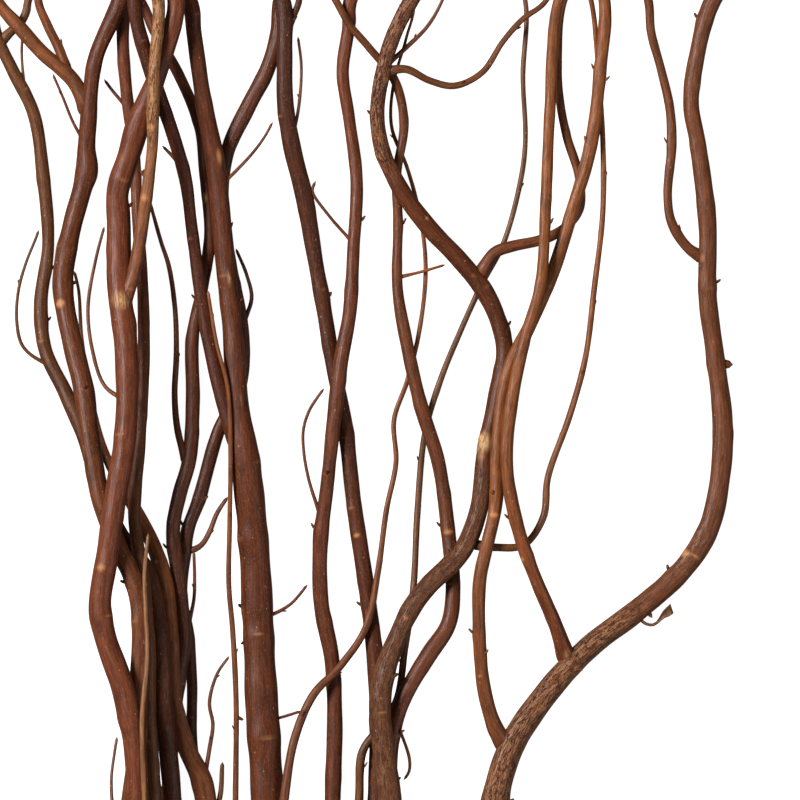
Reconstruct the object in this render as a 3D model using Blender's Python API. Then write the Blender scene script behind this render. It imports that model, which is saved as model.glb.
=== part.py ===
"""A loose bunch of cut curly willow stems, laid down on a surface.

Seventeen stems lie side by side and across one another, cut ends towards -Y and tips towards +Y.
Every stem is one node: its main shoot, its forks and twigs, and its buds, grown together.
Routes are hand-chosen points in millimetres, as x, y and thickness, seen from straight above.
Past the last point a shoot goes on by a curling rule, and heights come from laying the stems
down one after another, each over those that lie there already.
"""

import math
import random

import bmesh
import bpy
import numpy as np
from mathutils import Matrix, Vector

MM = 0.001

# Origin of the routes, set so that the whole bunch is centred on the world's Z axis
CENTRE_X = -6.8
CENTRE_Y = 94.1

# Tubes
STEM_SIDES = 6
TWIG_SIDES = 4
FULLNESS = {STEM_SIDES: 1.05, TWIG_SIDES: 1.16}  # corner radius over true radius, to keep the bulk
TWIG_BELOW = 3.0  # a branch thinner than this at its root has fewer sides
SAMPLE = 2.0
MOST_TURN = math.radians(14)
MOST_SPAN = 30.0
LEAST_SPAN = 9.0
THINNEST = 1.1

# How a shoot goes on past its last point
SEED = 7
LEAVES_VIEW = 155.5  # a branch whose last point lies beyond this grows on
REACH = 66.0  # length still to grow, over thickness there
GROW_STEP = 22.0
SWING = (0.42, 0.62)
WAVE = (125.0, 175.0)
FAN = 0.0011
FAN_CENTRE = -25.0
TIP = 1.3
TWIG_EVERY = 5  # control points from one side twig to the next
TWIG_LENGTH = (60.0, 115.0)
TWIG_TURN = (0.5, 0.8)

# How stems rest on each other
GAP = 0.5
CHECK_SPAN = 5.0
BEND = 0.0022  # the most that a resting shoot curves in height, per mm
SETTLE = 170.0  # how soon a twig comes down to the surface from its parent's height
RISE = 22.0  # length over which a twig leaves its parent's height
MERGE = 5.0  # a twig ignores its parent within this many times their radii
SNAP = 0.35

# Buds
BUD_EVERY = 95.0
BUD_LENGTH = 3.4
BUD_RADIUS = 1.25
BUD_SUNK = 0.7
BUD_LEAN = math.radians(52)
BUD_LEAST_STEM = 3.2

BARK = {
    "brown": (0.105, 0.036, 0.017),
    "red": (0.125, 0.034, 0.017),
    "olive": (0.085, 0.042, 0.018),
    "tan": (0.26, 0.125, 0.05),
}

# The stems, in the order in which they are laid down
STEMS = {
    "stem_09": {
        "bark": "red",
        "main": [
            (-70, -338, 5.6), (-74, -290, 5.4), (-70, -240, 5.2), (-74, -195, 5), (-79, -160, 4.8),
            (-83.4, -140, 4.4), (-83.6, -114, 4), (-85, -94, 4.4), (-88, -78, 4.8), (-86.6, -62, 5),
            (-85.2, -52, 5), (-80.8, -40, 5.2), (-72.6, -11.6, 4.8), (-64.2, 5, 4.6),
            (-62.8, 24, 4.4), (-64.6, 38, 4.4), (-68, 54, 4.5), (-71.5, 78, 5), (-69.6, 99, 5.2),
            (-61, 118, 5.8), (-53.3, 133, 5.8), (-49, 148, 5.7), (-48, 160, 5.6),
        ],
        "twigs": [
            [(-62.8, 31, 1.6), (-59.6, 41, 1.5), (-61.5, 50, 1.3), (-66, 61, 1.1)],
            [
                (-86.6, -60.8, 2.2), (-82.6, -60, 2.1), (-79.4, -57.8, 2), (-76.4, -52.6, 1.9),
                (-73.6, -45.6, 1.7), (-69.2, -38.8, 1.4),
            ],
            [(-85.2, -91, 1.6), (-82.8, -80, 1.3), (-82.5, -70, 1.2), (-82.8, -60.6, 1.2)],
        ],
    },
    "stem_07": {
        "bark": "brown",
        "main": [
            (-84, -348, 6.6), (-90, -300, 6.4), (-88, -250, 6.2), (-94, -200, 6), (-93, -160, 5.6),
            (-90.4, -124, 5.2), (-88.4, -110, 5.2), (-86.6, -96, 5.2), (-88.8, -72, 5.2),
            (-91, -52, 5.2), (-88.5, -38, 5.2), (-84.6, -24, 5.2), (-83.2, 0, 5.3), (-83.4, 25, 4.8),
            (-79, 47, 4.4), (-76.4, 67, 4.4), (-78.5, 90, 4.2), (-80.6, 110, 4.2), (-88.6, 130, 4.3),
            (-98.6, 148, 3.9), (-104, 160, 3.6),
        ],
        "twigs": [
            [
                (-85.6, -26, 3), (-89.3, -12, 2.6), (-90.5, 2, 2.3), (-89.8, 18, 2.1),
                (-90.3, 36, 1.9), (-92.8, 53.6, 1.7), (-96, 63.6, 1.5), (-100.6, 80, 1.3),
            ],
        ],
    },
    "stem_03": {
        "bark": "olive",
        "main": [
            (-80, -358, 9), (-76, -285, 8.8), (-80, -230, 8.6), (-77, -180, 8.4), (-79, -154, 8),
            (-85.6, -138.8, 7), (-90, -122, 6), (-91.7, -96, 6.2), (-94.2, -73, 6.4), (-97.4, -62, 6),
            (-102, -51.5, 5.6), (-109.5, -38, 4.6), (-117.8, -23, 3.6), (-124.2, 0, 2.4),
            (-128, 25, 1.6), (-129.2, 44, 1.2), (-131, 52, 1.1),
        ],
        "twigs": [
            [
                (-78.6, -153, 1.8), (-76.4, -140, 1.6), (-75, -130, 1.5), (-76.4, -121.5, 1.4),
                (-73.4, -110, 1.2), (-68.4, -102.6, 1.1),
            ],
            [(-77.5, -172, 2.2), (-72.4, -160, 2), (-71.2, -145, 1.6)],
        ],
    },
    "stem_01": {
        "bark": "olive",
        "main": [
            (-99, -352, 8), (-99, -310, 7.8), (-98, -255, 7.6), (-90, -205, 7.4), (-91, -160, 7),
            (-94.3, -124, 6.8), (-96, -96, 6.4), (-101, -69, 6), (-111, -55.5, 6), (-120, -37, 5.8),
            (-126, -16, 5.6), (-134, 2.5, 5.5), (-142.4, 20, 5.2), (-144.3, 39, 5.2), (-141.4, 62, 4.8),
            (-143.5, 91, 5.1), (-147.2, 115, 5), (-155.6, 132.4, 4.8), (-162, 146, 4.8),
            (-165, 157, 4.7),
        ],
        "twigs": [
            [
                (-140, 13.6, 1.6), (-148, 18, 1.4), (-152, 22.6, 1.4), (-153.9, 32, 1.3),
                (-153.2, 44, 1.3), (-150.2, 55, 1.2), (-146.2, 65, 1.1), (-145, 68.4, 1.1),
            ],
            [
                (-161.5, 143, 3.4), (-156.5, 148, 3.3), (-152.2, 152, 3.2), (-150.2, 156.4, 3),
                (-149.6, 160, 2.9),
            ],
            [(-150.5, 121.5, 1.2), (-152, 139, 1.1), (-151.7, 147, 1.1)],
        ],
    },
    "stem_05": {
        "bark": "red",
        "main": [
            (-108, -342, 5.6), (-104, -300, 5.4), (-104, -250, 5.2), (-99.6, -200, 5), (-98, -160, 4.8),
            (-100, -124, 4.8), (-100, -100, 4.8), (-102.5, -72, 4.8), (-106, -47, 4.8),
            (-104, -15, 4.7), (-102.6, 12.8, 4.6), (-103, 42, 4.5), (-105.5, 75, 4.4),
            (-107, 101, 4.6), (-110, 125, 4.8), (-111.3, 148, 5), (-110, 160, 5),
        ],
        "twigs": [
            [(-109.8, 117.6, 1.3), (-115.6, 124.4, 1.2), (-119, 129, 1.1)],
        ],
    },
    "stem_02": {
        "bark": "red",
        "main": [
            (-114, -360, 8.2), (-116, -300, 8), (-110, -250, 7.8), (-113, -200, 7.6),
            (-107.6, -160, 7.2), (-104.6, -138, 7), (-104, -110, 7), (-103.2, -90, 6.8),
            (-105.4, -74, 6.8), (-113, -57, 7), (-119.3, -39, 7), (-123.8, -14, 7.3),
            (-126.2, 4, 7.4), (-130.2, 20, 7.6), (-133.6, 35, 7.2), (-135, 48, 7.5), (-131.4, 70, 7.3),
            (-127.6, 84, 7.2), (-125.6, 92.5, 8), (-125.7, 101, 6.6), (-124.9, 112, 6.4),
            (-124, 124, 5.8), (-121.6, 138, 5.6), (-115, 153, 6.3), (-111.6, 161, 6.4),
        ],
        "twigs": [
            [
                (-125.6, 114, 5), (-127.4, 121, 5.4), (-130.6, 127.4, 5.6), (-136, 133, 5.3),
                (-143, 138.8, 5.2), (-152.4, 149.2, 5.3), (-161.6, 160, 4.4),
            ],
            [(-133.6, 131.2, 3.8), (-136.4, 140, 3.6), (-141.4, 150.4, 3.4), (-145, 160, 3.2)],
            [(-126, 102, 1.4), (-131.4, 112, 1.2), (-135.3, 121.6, 1.1), (-139.4, 131, 1.1)],
        ],
    },
    "stem_11": {
        "bark": "brown",
        "main": [
            (-18, -362, 7.6), (-22, -300, 7.4), (-20, -250, 7.2), (-12, -200, 7), (-9.6, -160, 6.6),
            (-9, -128, 6.5), (-10.4, -100, 6.4), (-14, -72, 6.3), (-18.4, -42.4, 6.1),
            (-22.4, -8, 5.8), (-26.8, 13, 5.7), (-30, 33, 5.7), (-34.2, 57, 5.9), (-38.3, 81, 6.5),
            (-43.2, 101, 6.7), (-46, 119, 6), (-46.3, 140, 5.9), (-47.2, 160, 6),
        ],
        "twigs": [
            [(-46.6, 145, 2.8), (-42.8, 154, 2.6), (-40.4, 161, 2.4)],
            [(-43.5, 103, 1.3), (-40.6, 118, 1.2), (-39.6, 134, 1.1), (-41, 146, 1.1)],
        ],
    },
    "stem_10": {
        "bark": "red",
        "main": [
            (-56, -366, 13.2), (-54, -320, 13), (-58, -265, 12.8), (-52, -210, 12.6),
            (-53.2, -160, 12.4), (-55.6, -121, 12), (-57, -90, 11.2), (-58.2, -66, 11.1),
            (-60.1, -42.4, 11), (-62.9, -18.4, 10.2), (-65.4, 0, 8.4), (-67, 26, 7.8),
            (-69.4, 48, 7.4), (-71.6, 72, 7.6), (-74.2, 96, 7.5), (-78.4, 118, 6.6),
            (-82.4, 146.4, 6), (-84.2, 160, 5.8),
        ],
        "twigs": [
            [
                (-64, -20, 6.4), (-67.4, -11.5, 6.1), (-72, 4, 5.8), (-77, 26, 5.5),
                (-80.6, 48, 4.9), (-83.6, 70, 4.5), (-86, 89, 4.7), (-93, 113, 5),
                (-100.4, 134, 5.2), (-106, 160, 5.2),
            ],
            [(-56.8, -88.6, 1.6), (-44.5, -82.4, 1.3), (-37, -74, 1.1)],
            [(-72.6, 85, 1.3), (-60, 98, 1.2), (-54.4, 105.4, 1.1), (-51, 111.6, 1.1)],
            [(-55.4, -129.4, 1.2), (-47, -127.2, 1.1), (-39.4, -124.8, 1.1)],
            [(-57.6, -95.4, 1.7), (-64.2, -98, 1.2)],
            [(-88.4, 95, 1.5), (-92.4, 99, 1.2), (-95.4, 102, 1.1)],
        ],
    },
    "stem_08": {
        "bark": "tan",
        "main": [
            (-66, -340, 3), (-64, -300, 2.8), (-70, -250, 2.6), (-66, -205, 2.4), (-66, -160, 2.1),
            (-65.7, -121, 2), (-67.1, -92, 2), (-68.6, -74, 1.9), (-68.2, -48, 1.8), (-67.9, -20, 1.7),
            (-69, 5, 1.5), (-73.5, 23, 1.4), (-77, 44, 1.2),
        ],
        "twigs": [
            [(-65.6, -127, 1.2), (-62.6, -128.4, 1.1)],
        ],
    },
    "stem_04": {
        "bark": "red",
        "main": [
            (-104, -350, 9.2), (-108, -305, 9), (-112, -250, 8.8), (-104, -200, 8.6),
            (-104.4, -160, 8.2), (-105.6, -137, 8.4), (-110, -115, 8.8), (-117.2, -94, 8.7),
            (-119.3, -82, 8.5), (-116.4, -62, 8.6), (-113.2, -39, 8.6), (-109.7, -18.4, 8.6),
            (-108.5, 3, 8.6), (-109.4, 25, 8.9), (-111.8, 43.6, 9.2), (-112.2, 70, 8.7),
            (-112.6, 83, 8.4), (-108, 98, 8.4), (-104, 111.5, 8.6), (-98.4, 125, 7.1),
            (-93.8, 138, 6.4), (-89.2, 160, 6.4),
        ],
        "twigs": [
            [
                (-111.4, 37, 5.4), (-106.4, 50, 5.2), (-102.6, 70.4, 4.8), (-100, 88, 4.5),
                (-98.6, 101, 4.3), (-98.3, 115, 4.7), (-97.6, 134, 4.4), (-96.3, 160, 4.8),
            ],
            [
                (-108.8, -0.4, 1.7), (-117.4, 5.4, 1.5), (-122.6, 20, 1.4), (-124.4, 37, 1.3),
                (-121.4, 56, 1.2), (-118, 69.4, 1.1),
            ],
            [
                (-107.6, -176, 1.4), (-113.4, -166, 1.3), (-115, -152, 1.2), (-113.8, -141, 1.1),
                (-112.7, -134, 1.1),
            ],
        ],
    },
    "stem_06": {
        "bark": "tan",
        "main": [
            (-96, -332, 2.8), (-100, -290, 2.6), (-106, -245, 2.4), (-101, -200, 2.2),
            (-101.4, -160, 1.9), (-102.4, -127, 1.8), (-100.4, -102, 1.7), (-101, -84, 1.6),
            (-101.5, -68, 1.5), (-100, -53, 1.3),
        ],
        "twigs": [],
    },
    "stem_12": {
        "bark": "red",
        "main": [
            (-34, -356, 7.2), (-34, -310, 7), (-34, -255, 6.6), (-27, -205, 6.4), (-27, -160, 6),
            (-26.2, -128, 5.7), (-27.4, -104, 5.7), (-31.6, -82, 5.8), (-32, -58, 5.7),
            (-29.2, -34, 5.2), (-26.6, -9, 5.6), (-23.6, 16, 5.9), (-20.2, 35, 5.4), (-18.6, 62, 4.9),
            (-17.4, 88, 4.8), (-20.4, 113, 4.7), (-23, 132, 4.6), (-20.6, 150, 5), (-20, 160, 5.2),
        ],
        "twigs": [
            [
                (-31.8, -47, 1.5), (-36.6, -32, 1.3), (-38.6, -21, 1.2), (-38.8, -12, 1.2),
                (-36.6, -4.6, 1.2), (-33.2, 1, 1.1), (-30.4, 4.8, 1.1),
            ],
            [(-18.7, 62.8, 1.3), (-29, 74.6, 1.2), (-35.2, 84, 1.1), (-33.8, 88, 1.1)],
        ],
    },
    "stem_15": {
        "bark": "tan",
        "main": [
            (-24, -330, 4.2), (-16, -290, 4), (-12, -240, 3.8), (-18, -195, 3.6), (-16.4, -160, 3.4),
            (-15, -141, 3.3), (-8, -131, 3.1), (-1.6, -121, 2.9), (2, -100, 2.7), (5.4, -75, 2.6),
            (7, -45, 2.5), (10, -13.6, 2.4), (16.4, 8.4, 2.3), (24, 27, 2.2), (32.6, 46, 2.1),
            (41.8, 63.6, 2), (48.8, 90, 1.9), (50.4, 105, 1.8), (49.4, 130, 1.8), (50.4, 160, 1.8),
        ],
        "twigs": [],
    },
    "stem_13": {
        "bark": "tan",
        "main": [
            (-42, -345, 4.4), (-50, -305, 4.2), (-46, -250, 4), (-50, -200, 3.8), (-46.4, -160, 3.6),
            (-42, -135, 3.4), (-34.6, -118, 3.2), (-24, -106.8, 3), (-13.8, -91.6, 2.8),
            (-9, -70, 2.4), (-5.4, -44, 2.1), (-1.6, -25, 2), (-2.4, -8, 1.9), (3, 8, 1.8),
            (7.8, 28, 1.7), (10.3, 52, 1.6), (8.4, 72, 1.5), (3, 93, 1.4), (-3.4, 110, 1.3),
            (-2.6, 127, 1.2), (2.4, 145, 1.1), (5.6, 160, 1.1),
        ],
        "twigs": [],
    },
    "stem_14": {
        "bark": "brown",
        "main": [
            (-14, -340, 7), (-10, -295, 6.8), (-14, -245, 6.6), (-8, -200, 6.4), (-4.8, -160, 6),
            (-3.4, -136, 5.9), (-0.8, -125.6, 5.9), (3.2, -116, 5.9), (11.8, -101.8, 6.1),
            (19.4, -90, 5.9), (21.3, -76, 5.5), (19.6, -55, 5.3), (15.4, -25, 5.2),
            (8.6, -3, 5.3), (2.6, 23.2, 5),
            (-1, 45, 4.3), (-0.8, 72, 3.8), (-1.4, 90, 3.7), (1.6, 111, 3.6), (-2, 128, 3.4),
            (-12.4, 141.4, 3), (-20.5, 151, 2.8), (-25, 159, 2.7),
        ],
        "twigs": [
            [(-6.4, 133.6, 2.1), (2.4, 141.4, 1.8), (11, 150, 1.5), (16.8, 160, 1.3)],
            [(-0.8, 49.2, 1.3), (9, 51.6, 1.2), (18.4, 54.4, 1.1)],
            [
                (-1.6, -129, 1.3), (1.6, -136.6, 1.2), (3.8, -144, 1.2), (3.6, -149, 1.1),
                (1.4, -152.4, 1.1),
            ],
        ],
    },
    "stem_16": {
        "bark": "brown",
        "main": [
            (2, -352, 9.2), (8, -300, 9), (6, -250, 8.8), (-2, -200, 8.6), (-4, -160, 8.3),
            (-6.7, -138, 8.2), (-8, -122, 8), (-6.2, -109, 7.9), (-1, -95, 7.2), (4.8, -83, 7.1),
            (11.4, -74.4, 7.2), (25, -60.4, 7.2), (31.8, -43, 7), (34.2, -22, 6.9), (38.6, 0, 6.9),
            (42, 20, 6.6), (38.8, 33.6, 6.8), (33.4, 44.4, 6.9), (23.2, 57, 6.7), (13.2, 67.4, 6.9),
            (3, 80.3, 6.6), (-2.7, 90, 6.1), (-7, 100, 6.1), (-9.1, 114, 5.6), (-7, 131, 5.4),
            (-2.6, 146, 5.8), (4.4, 160, 5.8),
        ],
        "twigs": [
            [
                (-6.4, 131.6, 3.2), (2.5, 132.6, 2.9), (12, 128, 2.7), (22, 126, 2.5),
                (33, 131.4, 2.4), (41.2, 143.6, 2.3), (49, 152.6, 2.2), (58.4, 160, 2.1),
            ],
            [
                (31, 48.6, 5), (37.8, 59, 4.6), (45, 61.7, 4.4), (57, 64.4, 4.1), (66, 69, 3.9),
                (72, 77, 3.7), (71.8, 90, 3.5), (66.9, 106, 3.4), (64, 122, 3.3), (63.4, 140, 3.2),
                (65.4, 160, 3.2),
            ],
            [
                (28, -57.6, 3.4), (38, -59, 3), (49.6, -58, 2.8), (57.4, -47, 2.7), (59.3, -31, 2.6),
                (68, -6.4, 2.5), (74.4, 17, 2.4), (78, 45, 2.3), (81.4, 75, 2.2), (81.4, 105, 2.1),
                (79.6, 133, 2), (76.8, 160, 2),
            ],
        ],
    },
    "stem_17": {
        "bark": "brown",
        "main": [
            (22, -345, 11.6), (31, -290, 11.4), (37, -240, 11), (34, -195, 10.8), (38.2, -160, 10.4),
            (45, -138.4, 10), (60.6, -115.4, 9.1), (76.8, -98.4, 8.6), (95.2, -84.4, 8.2),
            (113, -68.6, 8), (123.8, -52, 7.8), (128.7, -30, 7.7), (129.5, -8, 7.4),
            (126.4, 19, 6.8), (123.5, 42, 6.7), (123.5, 70, 6.8), (119.6, 103, 6.3), (116.9, 119, 6),
            (119.2, 138, 6.2), (125.4, 160, 6.6),
        ],
        "twigs": [
            [
                (43.6, -141.4, 6.4), (37.6, -130, 5.8), (33.4, -114, 5.3), (31.5, -86.4, 5),
                (32, -71, 5), (34.8, -58, 5), (38.2, -42, 5.1), (39, -18, 5.1), (43, 10, 5),
                (52, 30, 5), (60.8, 50, 4.9), (69.4, 77, 4.8), (76.7, 103, 4.8), (80.2, 132, 4.7),
                (82, 160, 4.6),
            ],
            [
                (67.6, -106, 6.2), (62.4, -90.4, 5.4), (54.8, -72.8, 5.2), (47.7, -53.2, 5.1),
                (42.8, -28, 5), (43.6, -8, 4.9), (49.6, 23.2, 4.6), (56, 45, 4.3), (58.4, 80, 4.2),
                (60, 115, 4.2), (63.6, 160, 4.1),
            ],
            [
                (123.2, 56.4, 4.4), (115.8, 61, 3.8), (109.2, 71, 3.5), (107.5, 82, 3.3),
                (109.1, 102, 3.6), (108.4, 117, 3.4), (104.8, 133, 3.3), (100.8, 148, 3.2),
                (99.8, 160, 3.3),
            ],
            [(127, 14.4, 3), (131.4, 14.4, 2.8), (133.8, 14.2, 1.8)],
            [(96, -83.2, 1.5), (97.2, -88.8, 1.2), (101.4, -90.4, 1.1), (105.4, -87.6, 1.2)],
            [(97.6, -82, 2), (101.4, -87.6, 1.4)],
        ],
    },
}


class Shoot:
    """One main shoot, fork or twig: rows of x, y and thickness, with its heights once it is laid."""

    def __init__(self, points, sides):
        self.points = points
        self.sides = sides
        self.rows = rings_of(smooth(points))
        self.flat = self.rows[:, :2]
        self.radius = np.maximum(self.rows[:, 2], THINNEST) / 2 * FULLNESS[sides]
        self.height = None

    def apothem(self, radius):
        return radius * math.cos(math.pi / self.sides)


def smooth(points):
    """Samples of a centripetal curve through the points, every SAMPLE mm or so."""
    rows = np.array(points, float)
    rows = np.vstack([2 * rows[0] - rows[1], rows, 2 * rows[-1] - rows[-2]])
    gaps = np.linalg.norm(np.diff(rows[:, :2], axis=0), axis=1)
    knots = np.concatenate([[0], np.cumsum(np.sqrt(gaps))])
    made = []
    for i in range(1, len(rows) - 2):
        count = max(2, round(gaps[i] / SAMPLE))
        t = np.linspace(knots[i], knots[i + 1], count, endpoint=False)[:, None]
        k = knots[i - 1 : i + 3]
        p = rows[i - 1 : i + 3]
        a = [((k[j + 1] - t) * p[j] + (t - k[j]) * p[j + 1]) / (k[j + 1] - k[j]) for j in range(3)]
        b = [((k[j + 2] - t) * a[j] + (t - k[j]) * a[j + 1]) / (k[j + 2] - k[j]) for j in range(2)]
        made.append(((k[2] - t) * b[0] + (t - k[1]) * b[1]) / (k[2] - k[1]))
    return np.vstack(made + [rows[-2:-1]])


def rings_of(samples):
    """The samples that get a ring: close together in bends and further apart where it runs straight."""
    steps = np.diff(samples[:, :2], axis=0)
    lengths = np.linalg.norm(steps, axis=1)
    headings = np.unwrap(np.arctan2(steps[:, 1], steps[:, 0]))
    kept = [0]
    run = 0.0
    turned = 0.0
    for i in range(1, len(steps)):
        run += lengths[i - 1]
        turned += abs(headings[i] - headings[i - 1])
        if run >= MOST_SPAN or (turned >= MOST_TURN and run >= LEAST_SPAN):
            kept.append(i)
            run = turned = 0.0
    if run < LEAST_SPAN / 2 and len(kept) > 1:
        kept.pop()
    return samples[kept + [len(samples) - 1]]


def grow(points, reach, rng, lean=None):
    """The points carried on by a curling rule until the shoot ends in a thin tip."""
    x, y, width = points[-1]
    heading = math.atan2(x - points[-2][0], y - points[-2][1])
    lean = FAN * (x - FAN_CENTRE) if lean is None else lean
    swing = rng.uniform(*SWING)
    wave = rng.uniform(*WAVE)
    phase = math.asin(max(-1.0, min(1.0, (heading - lean) / swing)))
    if rng.random() < 0.5:
        phase = math.pi - phase
    steps = max(2, round(reach / GROW_STEP))
    step = reach / steps
    made = list(points)
    for i in range(1, steps + 1):
        way = i / steps
        turn = lean + swing * math.sin(phase + 2 * math.pi * i * step / wave)
        x += step * math.sin(turn)
        y += step * math.cos(turn)
        made.append((x, y, width + (TIP - width) * way**1.2))
    return made


def side_twigs(points, first, rng):
    """Twigs that leave the grown length of a shoot, by turns to its left and right."""
    side = rng.choice((-1, 1))
    made = []
    for i in range(first + 2, len(points) - 2, TWIG_EVERY):
        x, y, width = points[i]
        along = math.atan2(points[i + 1][0] - x, points[i + 1][1] - y)
        heading = along + side * rng.uniform(*TWIG_TURN)
        root = (x, y, max(1.4, 0.5 * width))
        reach = rng.uniform(*TWIG_LENGTH) * min(1.0, width / 5)
        off = (x + 6 * math.sin(heading), y + 6 * math.cos(heading), root[2] * 0.9)
        made.append(grow([root, off], reach, rng, 0.5 * heading))
        side = -side
    return made


def shoots_of(stem, rng):
    """The main shoot of a stem, then its forks and twigs, all grown to their tips."""
    made = []
    for k, points in enumerate([stem["main"]] + stem["twigs"]):
        first = len(points)
        width = points[-1][2]
        if points[-1][1] > LEAVES_VIEW:
            points = grow(points, REACH * width, rng)
        sides = TWIG_SIDES if k and points[0][2] < TWIG_BELOW else STEM_SIDES
        made.append(Shoot(points, sides))
        if len(points) > first and width > 2.5:
            made += [Shoot(twig, TWIG_SIDES) for twig in side_twigs(points, first, rng)]
    return made


def checks_of(shoot):
    """Points along the polyline of a shoot, as length, x, y and radius, and the ring before each."""
    steps = np.linalg.norm(np.diff(shoot.flat, axis=0), axis=1)
    at = np.concatenate([[0], np.cumsum(steps)])
    count = max(3, round(at[-1] / CHECK_SPAN))
    s = np.unique(np.concatenate([np.linspace(0, at[-1], count), at]))
    flat = np.stack([np.interp(s, at, shoot.flat[:, k]) for k in (0, 1)], axis=1)
    return at, s, flat, np.interp(s, at, shoot.radius)


def heights_over(shoot, flat, radius, other, skip=None):
    """For each point, the centre height that just clears the other shoot, and the one just under it."""
    start = other.flat[:-1]
    run = np.diff(other.flat, axis=0)
    t = ((flat[:, None] - start) * run).sum(axis=2) / (run**2).sum(axis=1)
    t = np.clip(t, 0, 1)
    near = start + t[..., None] * run
    apart = np.linalg.norm(flat[:, None] - near, axis=2)
    thick = other.radius[:-1] + t * np.diff(other.radius)
    high = other.height[:-1] + t * np.diff(other.height)
    full = radius[:, None] + thick
    level = radius[:, None] * math.sin(math.pi / shoot.sides) + thick * math.sin(math.pi / other.sides)
    stack = shoot.apothem(radius)[:, None] + other.apothem(thick)
    share = np.clip((full + GAP - apart) / (full - level), 0, 1)
    touches = share > 0
    if skip is not None:
        centre, within = skip
        touches &= np.linalg.norm(near - centre, axis=2) > within
    over = np.where(touches, high + stack * share + GAP, -np.inf).max(axis=1)
    under = np.where(touches, high - stack * share - GAP, np.inf).min(axis=1)
    return over, under


def parent_of(shoot, own):
    """The shoot of the same stem that this one leaves, with its height and radius there."""
    best = None
    for other in own:
        start = other.flat[:-1]
        run = np.diff(other.flat, axis=0)
        t = np.clip(((shoot.flat[0] - start) * run).sum(axis=1) / (run**2).sum(axis=1), 0, 1)
        apart = np.linalg.norm(start + t[:, None] * run - shoot.flat[0], axis=1)
        k = int(apart.argmin())
        if best is None or apart[k] < best[0]:
            high = other.height[k] + t[k] * (other.height[k + 1] - other.height[k])
            best = (apart[k], other, high, other.radius[k])
    return best[1:]


def lay(shoot, own, laid):
    """Gives the shoot its heights: on the surface, over what lies there, and no more bent than it can be."""
    at, s, flat, radius = checks_of(shoot)
    floor = shoot.apothem(radius)
    rests = floor.copy()
    ramp = np.ones(len(s))
    skips = {}
    if own:
        parent, high, thick = parent_of(shoot, own)
        rests = floor + (max(high, floor[0]) - floor) * np.exp(-s / SETTLE)
        ramp = np.clip((s - thick * 0.7) / RISE, 0, 1)
        ramp = ramp * ramp * (3 - 2 * ramp)
        skips[id(parent)] = (shoot.flat[0], MERGE * (thick + shoot.radius[0]))
    pairs = [heights_over(shoot, flat, radius, other, skips.get(id(other))) for other in laid + own]
    away = np.abs(s[:, None] - s)
    high = rests
    for _ in range(4):
        least = floor.copy()
        for over, under in pairs:
            free = high <= under if own else np.zeros(len(s), bool)
            least = np.maximum(least, np.where(free, floor, over))
        arch = (least[None] - BEND / 2 * away**2).max(axis=1)
        high = rests + (np.maximum(arch, rests) - rests) * ramp
    near = np.exp(-((away / 16) ** 2) / 2)
    near /= near.sum(axis=1, keepdims=True)
    high = rests + (near @ high - rests) * ramp
    bump = np.exp(-((away / 30) ** 2))
    for _ in range(3):
        short = np.maximum(least - high, 0) * (ramp > 0.999)
        high = high + (short[None] * bump).max(axis=1) * ramp
    rings = np.interp(at, s, high)
    for _ in range(6):
        short = np.maximum(least - np.interp(s, at, rings), 0) * (ramp > 0.999)
        before = np.clip(np.searchsorted(at, s, side="right") - 1, 0, len(at) - 2)
        for k in np.flatnonzero(short > 0):
            for ring in (before[k], before[k] + 1):
                if not own or ring > 0:
                    rings[ring] = max(rings[ring], np.interp(at[ring], s, high) + short[k])
        high = np.maximum(high, np.interp(s, at, rings))
    low = shoot.apothem(shoot.radius)
    wanted = np.interp(at, s, least)
    down = (rings - low < SNAP) & (wanted <= low + 1e-6)
    shoot.height = np.where(down, low, np.maximum(rings, low))


def lay_all(rng):
    """Every stem as a list of laid shoots, by name."""
    laid = []
    stems = {}
    for name, stem in STEMS.items():
        own = []
        for shoot in shoots_of(stem, rng):
            lay(shoot, own, laid)
            own.append(shoot)
        laid += own
        stems[name] = own
    return stems


def place(x, y, z):
    return Vector(((x - CENTRE_X) * MM, (y - CENTRE_Y) * MM, z * MM))


def mesh_from_curve(curve):
    """A mesh object in the place of a curve object, with its caps welded on."""
    name = curve.name
    bpy.context.view_layer.update()
    mesh = bpy.data.meshes.new_from_object(curve.evaluated_get(bpy.context.evaluated_depsgraph_get()))
    welded = bmesh.new()
    welded.from_mesh(mesh)
    bmesh.ops.remove_doubles(welded, verts=welded.verts, dist=1e-6)
    bmesh.ops.recalc_face_normals(welded, faces=welded.faces)
    welded.to_mesh(mesh)
    welded.free()
    made = bpy.data.objects.new(name + "_mesh", mesh)
    made.matrix_world = curve.matrix_world
    bpy.data.objects.remove(curve)
    return made


def tube(name, shoot):
    """A tapering tube with a flat underside along a laid shoot."""
    data = bpy.data.curves.new(name, "CURVE")
    data.dimensions = "3D"
    data.twist_mode = "Z_UP"
    data.bevel_depth = MM
    data.bevel_resolution = shoot.sides // 2 - 2
    data.use_fill_caps = True
    spline = data.splines.new("POLY")
    spline.points.add(len(shoot.flat) - 1)
    for point, (x, y), z, radius in zip(spline.points, shoot.flat, shoot.height, shoot.radius):
        point.co = (*place(x, y, z), 1)
        point.radius = radius
        point.tilt = math.pi / 4 if shoot.sides == TWIG_SIDES else 0
    curve = bpy.data.objects.new(name, data)
    bpy.context.scene.collection.objects.link(curve)
    return mesh_from_curve(curve)


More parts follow.
